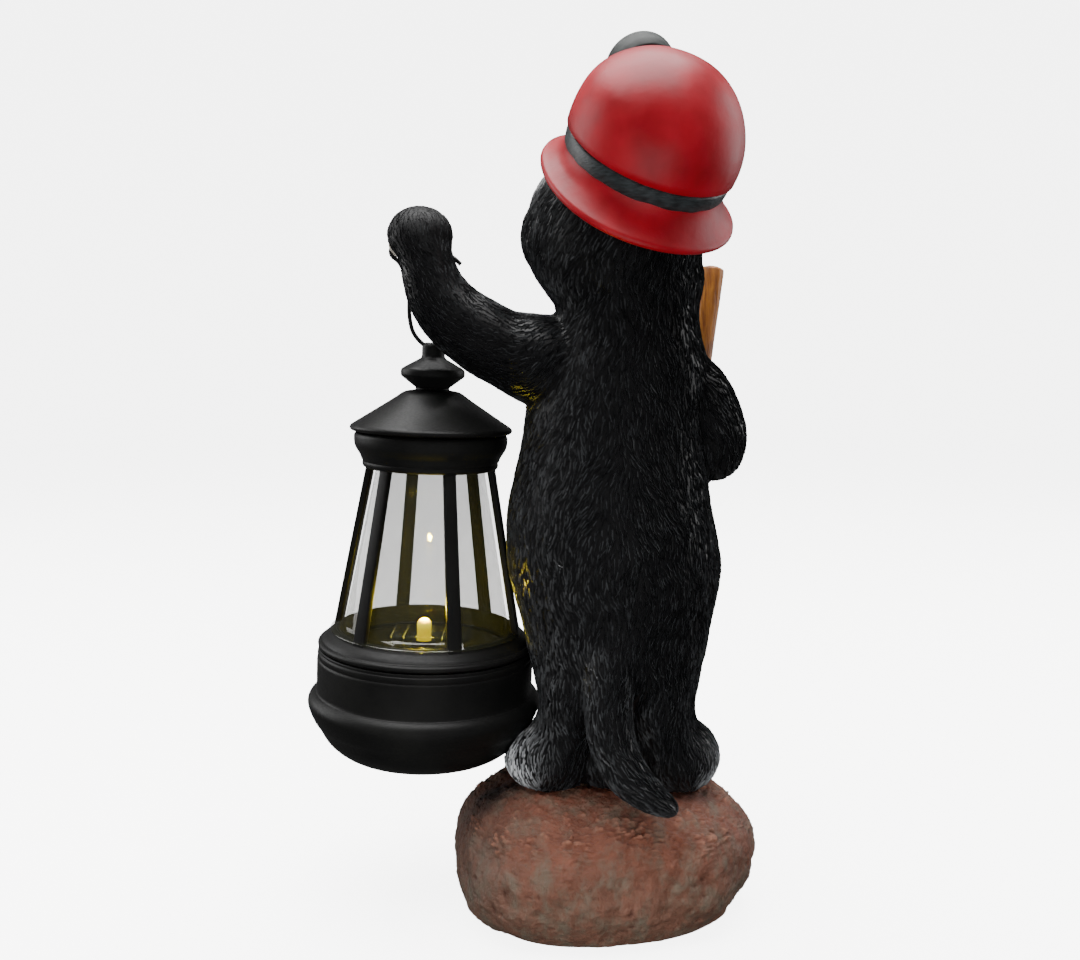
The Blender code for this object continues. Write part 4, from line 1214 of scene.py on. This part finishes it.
LAMP_PLACE = Matrix.Translation(SOLES) @ HEAD @ Matrix.Translation((1.6, -22.0, 52.2))
LAMP_PLACE = LAMP_PLACE @ Matrix.Rotation(math.radians(90), 4, "X")
lamp_shell = rounded([(0, 0), (11.6, 0), (12.5, 3.0), (12.5, 9.2, 1.6), (11.2, 10.2), (10.2, 9.6),
                      (9.8, 8.2), (0, 7.9)], 0.8)
headlamp = turned("helmet_lamp", lamp_shell, 72, LAMP_PLACE)
finish_piece(headlamp, lamp_paint, "painted_resin", "mole_casting", edge=50)
lens = turned("helmet_lamp_lens", [(0, 7.7), (9.9, 7.7), (9.9, 8.0), (8.6, 8.9), (6.0, 9.7), (3.0, 10.1),
                                   (0, 10.2)], 72, LAMP_PLACE)
finish_piece(lens, lens_paint, "painted_resin", "mole_casting", edge=50)

# %% [markdown]
# ## Nose and eyes
#
# These are bare of fur. The nose is a ball with two nostrils pressed in, and the eyes are glossy beads, sunk
# into the skin by half.

# %% Model the nose and the eyes
clear_hands()
bpy.ops.mesh.primitive_uv_sphere_add(segments=64, ring_count=40, radius=MM)
nose = bpy.context.object
nose.name = "nose"
places = vertices(nose) * (7.6, 6.6, 6.4)
for side in (1, -1):
    near = np.linalg.norm((places - (side * 3.1, -5.6, -1.2)) / (1.0, 1.0, 1.35), axis=1)
    places[:, 1] += 2.6 * np.exp(-(near / 1.5) ** 2)
reshape(nose, places)
put(nose, Matrix.Translation(SOLES) @ HEAD @ Matrix.Translation(NOSE))
finish_piece(nose, nose_paint, "painted_resin", "mole_casting", edge=80)

eyes = []
for eye in EYES:
    clear_hands()
    bpy.ops.mesh.primitive_uv_sphere_add(segments=32, ring_count=20, radius=3.1 * MM)
    eyes.append(bpy.context.object)
    put(eyes[-1], Matrix.Translation(SOLES) @ HEAD @ Matrix.Translation(eye))
finish_piece(joined("eyes", eyes), eye_paint, "painted_resin", "mole_casting", edge=80)

# %% [markdown]
# ## Claws
#
# Each claw is a bar that bends over and thins to a blunt point. Those of the raised paw hook over the
# lantern's wire, those of the other paw close round the shovel's handle, and those of the feet rest on the
# rock. A thumb closes on the wire from the side.

# %% Bend the claws
claws = []
for k in range(4):
    x, z = 58.8 + 5.4 * k, 199.5 + 0.9 * k
    claws.append([(x, 4, z + 3, 2.3), (x, -4, z + 6.8, 2.5), (x + 0.4, -12.4, z + 4.4, 2.3),
                  (x + 0.5, -14.4, z - 2, 1.8), (x + 0.3, -11.6, z - 5.6, 0.7)])
    x, z = -38.0 - 0.72 * k, 131 + 5.2 * k
    claws.append([(x - 8.5, -36, z, 2.4), (x - 8.3, -42.5, z - 0.3, 2.4), (x - 4.5, -46.8, z - 0.7, 2.1),
                  (x + 1.2, -45, z - 1.2, 1.1)])
    for (x, _), (wide, _), _ in FEET:
        across = (k - 1.5) * wide * 0.46
        y = -27 + abs(across) * 0.32
        claws.append([(x + across, y + 6, 5.5, 3.1), (x + 1.06 * across, y - 1.5, 5.6, 2.7),
                      (x + 1.1 * across, y - 7, 2.4, 0.9)])
claws.append([(73.0, 0, 204, 3.0), (76.6, -4, 203.4, 2.3), (78.4, -8, 200.8, 1.8), (77.6, -10, 197.2, 0.8)])
bars = [bar(f"claw_{k + 1}", route, 8, 20, Matrix.Translation(SOLES)) for k, route in enumerate(claws)]
all_claws = joined("claws", bars)
reshape(all_claws, stay_in_box(vertices(all_claws)))
finish_piece(all_claws, claw_paint, "painted_resin", "mole_casting", edge=60)

# %% [markdown]
# ## The shovel's handle
#
# The mole leans on a pointed spade. Its handle is a bar with a rounded end, and shallow grooves along it
# where the carver followed the fibres of wood.

# %% Model the handle
down = (SHAFT_FOOT - SHAFT_TOP).normalized()
FOOTING = Matrix.Translation(SOLES)
shaft = bar("shovel_handle", [
    (*SHAFT_TOP, 2.2), (*(SHAFT_TOP + down * 0.7), 3.9), (*(SHAFT_TOP + down * 2.2), 4.8),
    (*(SHAFT_TOP + down * 12), 4.9), (*(SHAFT_TOP + down * 60), SHAFT_RADIUS),
    (*(SHAFT_TOP + down * 110), 4.9),
    (*(SHAFT_FOOT + down * 6), 4.4),
], 10, 48, FOOTING)
places = vertices(shaft)
grooves = np.array([noise.noise(Vector((x * 1.3, y * 1.3, z / 26))) for x, y, z in places.tolist()])
heart = np.array(SOLES + SHAFT_TOP)
axis = np.array(down)
level = (places - heart) @ axis
spoke = places - heart - level[:, None] * axis
places += spoke / np.maximum(np.linalg.norm(spoke, axis=1), 0.01)[:, None] * (grooves * 0.3 - 0.1)[:, None]
reshape(shaft, stay_in_box(places))
finish_piece(shaft, wood_paint, "painted_resin", "mole_casting", edge=50)

# %% [markdown]
# ## The shovel's blade
#
# The blade is a sheet, dished across, with a socket that tapers into it as a rib and a rolled step at the
# top. A flat grid is cut to the blade's outline by its width at each depth, bent, and given its thickness.

# %% Model the blade
lean = Vector((0, 0, -1)).rotation_difference(down).to_matrix().to_4x4()
BLADE = FOOTING @ Matrix.Translation(SHAFT_FOOT) @ lean
# How far down the blade, and its half width there.
BLADE_EDGE = np.array([(0.0, 16.5), (14.0, 17.5), (27.0, 15.0), (33.0, 11.4), (37.0, 7.0), (39.2, 3.2),
                       (40, 0.4)])
clear_hands()
bpy.ops.mesh.primitive_grid_add(x_subdivisions=40, y_subdivisions=60, size=2 * MM)
blade = bpy.context.object
blade.name = "shovel_blade"
places = vertices(blade)
fall = (1 - places[:, 1]) * 20
half = np.interp(fall, BLADE_EDGE[:, 0], BLADE_EDGE[:, 1])
x = places[:, 0] * half
dish = -3.5 * (1 - (x / 18) ** 2)
rib = 0.9 * np.exp(-(x / 2.2) ** 2) * np.clip(1 - fall / 26, 0, 1)
step = -1.4 * np.exp(-((fall - 0.6) / 0.9) ** 2)
reshape(blade, np.stack([x, dish - rib + step, -fall], axis=1))
modified(blade, "SOLIDIFY", thickness=2.6 * MM, offset=0.0)
modified(blade, "BEVEL", width=0.5 * MM, segments=2, limit_method="ANGLE", angle_limit=math.radians(50))
put(blade, BLADE)
socket = bar("blade_socket", [(0, -2.0, 8, 5.4), (0, -2.2, 2, 5.3), (0, -2.8, -6, 4.2), (0, -3.6, -15, 2.4),
                              (0, -3.8, -21, 0.8)], 6, 32, BLADE)
blade = joined("shovel_blade", [blade, socket])
hold(blade)
bpy.ops.object.mode_set(mode="EDIT")
bpy.ops.mesh.select_all(action="SELECT")
bpy.ops.mesh.normals_make_consistent(inside=False)
bpy.ops.object.mode_set(mode="OBJECT")
reshape(blade, stay_in_box(vertices(blade)))
finish_piece(blade, steel_paint, "painted_resin", "mole_casting", edge=50)

# %% [markdown]
# ## The lantern's cage
#
# The roof, with its double cone and post, the cage and the bowl are separate mouldings in the same black
# plastic. The cage is a base ring, a collar and six uprights that taper upwards. Moulded edges are never
# sharp, so every corner of the outlines is rounded, and the uprights are bevelled.

# %% Turn the roof and build the cage
roof = turned("roof", rounded([
    (16.0, 111.0), (8.2, 115.6), (14.0, 112.2), (28.2, 104.6), (28.4, 103.1), (29.9, 103.1), (30.8, 104.2),
    (30.3, 105.2), (20.2, 111.7, 4.0), (13.6, 116.0, 3.0), (10.6, 118.3, 1.6), (6.5, 118.9, 0.5),
    (6.2, 119.6, 0.6), (12.0, 124.0, 0.6), (12.1, 126.3, 0.9), (11.2, 127.1, 1.2), (4.6, 130.8, 0.8),
    (4.3, 131.6, 0.6), (4.3, 135.2), (3.4, 136.6, 1.0), (0, 136.6),
], 0.7), 128, LANTERN)


def tube_radius(height):
    """The clear tube's outer radius, which the uprights follow."""
    return (65.7 - 22.5 * (height - 27.9) / 61.4) / 2


base_ring = turned("cage_base", rounded([
    (33.15, 25.0), (33.15, 20.85), (40.3, 20.85), (41.1, 21.2), (41.3, 22.4, 0.9), (40.4, 23.2), (39.7, 23.3),
    (39.3, 23.9), (38.6, 24.7), (35.2, 27.3, 0.9), (34.4, 27.85), (33.3, 27.85), (33.15, 25.0),
], 0.4), 128, LANTERN)
collar = turned("cage_collar", rounded([
    (21.9, 96.0), (21.9, 89.3), (24.6, 89.3), (25.5, 89.9), (25.8, 91.2), (25.5, 91.8, 0.3), (26.0, 92.4),
    (26.6, 94.2, 1.4), (28.5, 97.0, 1.6), (29.0, 99.2, 1.4), (29.0, 101.8, 0.7), (27.9, 102.75),
    (21.9, 102.75), (21.9, 96.0),
], 0.6), 128, LANTERN)

uprights = []
for k in range(6):
    clear_hands()
    bpy.ops.mesh.primitive_cube_add(size=MM)
    upright = bpy.context.object
    places = vertices(upright)
    top = places[:, 2] > 0
    far = places[:, 0] > 0
    z = np.where(top, 92.0, 24.6)
    half = np.where(top, 2.2, 2.68)
    x = tube_radius(z) + 0.6 + np.where(far, 2.6, 0.0)
    reshape(upright, np.stack([x, np.sign(places[:, 1]) * half, z], axis=1))
    modified(upright, "BEVEL", width=0.55 * MM, segments=4)
    put(upright, LANTERN @ Matrix.Rotation(math.radians(52.5 + 60 * k), 4, "Z"))
    uprights.append(upright)
cage = joined("cage", [base_ring, collar] + uprights)
finish_piece(roof, abs_black, "black_plastic", "lantern_roof", edge=40)
finish_piece(cage, abs_black, "black_plastic", "lantern_frame", edge=40)

# %% [markdown]
# ## The bowl
#
# The bowl is hollow and open at the top. Its outline runs up the outside, from the flat foot over the two
# swells of the ring and past the fine groove under the rim, and comes back down the inside wall.

# %% Turn the bowl
bowl = turned("bowl", rounded([
    (0, -21.0), (0, -23), (22.6, -23, 2.0), (26.5, -21.6, 4.0), (32.4, -19.6, 4.0), (37.8, -15.0, 4.0),
    (40.6, -9.6, 3.0), (42.3, -7.4, 0.9), (43.9, -4.0, 1.5), (44.75, -1.5, 1.5), (44.75, 0.3, 1.0),
    (43.9, 2.0, 1.0), (42.5, 3.2, 0.6), (41.8, 3.5, 0.3), (41.5, 4.3, 0.5), (41.5, 16.2, 0.6),
    (41.0, 16.8, 0.3), (41.3, 17.5, 0.5), (41.3, 18.9, 0.6), (40.8, 19.3, 0.3), (41.0, 20.0), (40.6, 20.5),
    (38.3, 20.5), (38.3, 0, 4.0), (36.0, -13.6, 5.0), (22.0, -21.0, 3.0), (0, -21.0),
], 0.5), 128, LANTERN)
finish_piece(bowl, abs_black, "black_plastic", "lantern_bowl", edge=40)

# %% [markdown]
# ## The clear tube
#
# The tube is real wall, 1.2 mm thick, with a sloping flange round its foot that catches the light.

# %% Turn the tube
window = turned("window", rounded([
    (32.0, 21.15), (32.85, 21.15), (32.85, 27.6), (33.0, 28.3), (36.2, 27.1), (36.7, 27.3), (36.5, 27.7),
    (33.2, 29.3), (tube_radius(30), 30.2), (tube_radius(60), 60.0), (tube_radius(97.3), 97.3),
    (tube_radius(97.3) - 1.2, 97.3), (tube_radius(60) - 1.2, 60.0), (31.6, 28.0), (31.6, 21.15),
    (32.0, 21.15),
], 0.3), 128, LANTERN)
finish_piece(window, styrene, "clear_plastic", "lantern_window", edge=40)

# %% [markdown]
# ## The floor, the solar cell and the lamp
#
# The floor closes the bowl under the tube. It is glossy, and carries the little solar cell on the mole's
# front side and the lamp in its socket at the back. A small warm light just above the lamp's head does the
# lighting that the glowing epoxy alone would do too weakly.

# %% Model what the cage holds
floor_plate = turned("floor_plate", rounded([
    (0, 18.2), (37.9, 18.2), (37.9, 20.2), (31.0, 20.2), (30.0, 20.6), (28.8, 20.2), (0, 20.2),
], 0.3), 128, LANTERN)
finish_piece(floor_plate, floor_gloss, "grey_plastic", "lantern_floor", edge=40)

clear_hands()
bpy.ops.mesh.primitive_cube_add(size=MM)
panel = bpy.context.object
panel.name = "solar_cell_plate"
reshape(panel, vertices(panel) * (30.0, 18.6, 1.2))
modified(panel, "BEVEL", width=0.3 * MM, segments=3)
put(panel, LANTERN @ Matrix.Translation((0, -13.8, 21.4)))
finish_piece(panel, cell_blue, "solar_cell", "solar_panel", edge=40)

AT_LAMP = LANTERN @ Matrix.Translation((0, 9.0, 0))
socket = turned("lamp_socket", rounded([(0, 20.8), (4.5, 20.8), (4.5, 24.3), (3.9, 24.8), (3.1, 24.8),
                                        (3.1, 24.2), (0, 24.2)], 0.4), 48, AT_LAMP)
finish_piece(socket, abs_black, "led", "lantern_led", edge=40)
bulb = turned("lamp_bulb", [(0, 24.3), (2.75, 24.3), (2.75, 26.0), (2.6, 26.1)]
              + arc((0, 30.4), 2.75, 0, 90, 10), 48, AT_LAMP)
finish_piece(bulb, epoxy_lit, "led", "lantern_led", edge=50)

glow_place = (AT_LAMP @ Vector((0, 0, 36.5))) * MM
bpy.ops.object.light_add(type="POINT", location=glow_place)
glow = bpy.context.object
glow.name = "lamp_glow"
glow.data.color = (1.0, 0.78, 0.05)
glow.data.energy = 0.26
glow.data.shadow_soft_size = 1.4 * MM

# %% [markdown]
# ## The hook
#
# One bent wire joins the lantern to the paw. It is black and 1.6 mm thick. It comes out of the side of the
# post, runs up beside the paw and through the claws, and is cut off just past them. The whole wire lies in
# one upright plane, so its points are given as how far across and how far up they are, first from the top
# of the post and then from the middle of the paw.

# %% Bend the hook
WIRE_RADIUS = 0.8
from_post = [(1.4, -3.6), (3.0, -2.8), (4.8, -1.4), (6.8, 0.9), (8.2, 3.8), (9.0, 8.6), (9.0, 14), (8.8, 20)]
from_paw = [(9.2, -9), (12.2, -6), (12.4, -3.4), (10, -1.6), (4, -2.4), (-4, -4.4), (-10, -6.4),
            (-13.4, -9.2)]
route = [(64.0 + x, -9.0, 166.9 + z, WIRE_RADIUS) for x, z in from_post]
route += [(67.0 + x, -9.0, 203.5 + z, WIRE_RADIUS) for x, z in from_paw]
hook = bar("hook_wire", route, 8, 16, FOOTING)
finish_piece(hook, wire_black, "black_wire", "lantern_hook", edge=60)
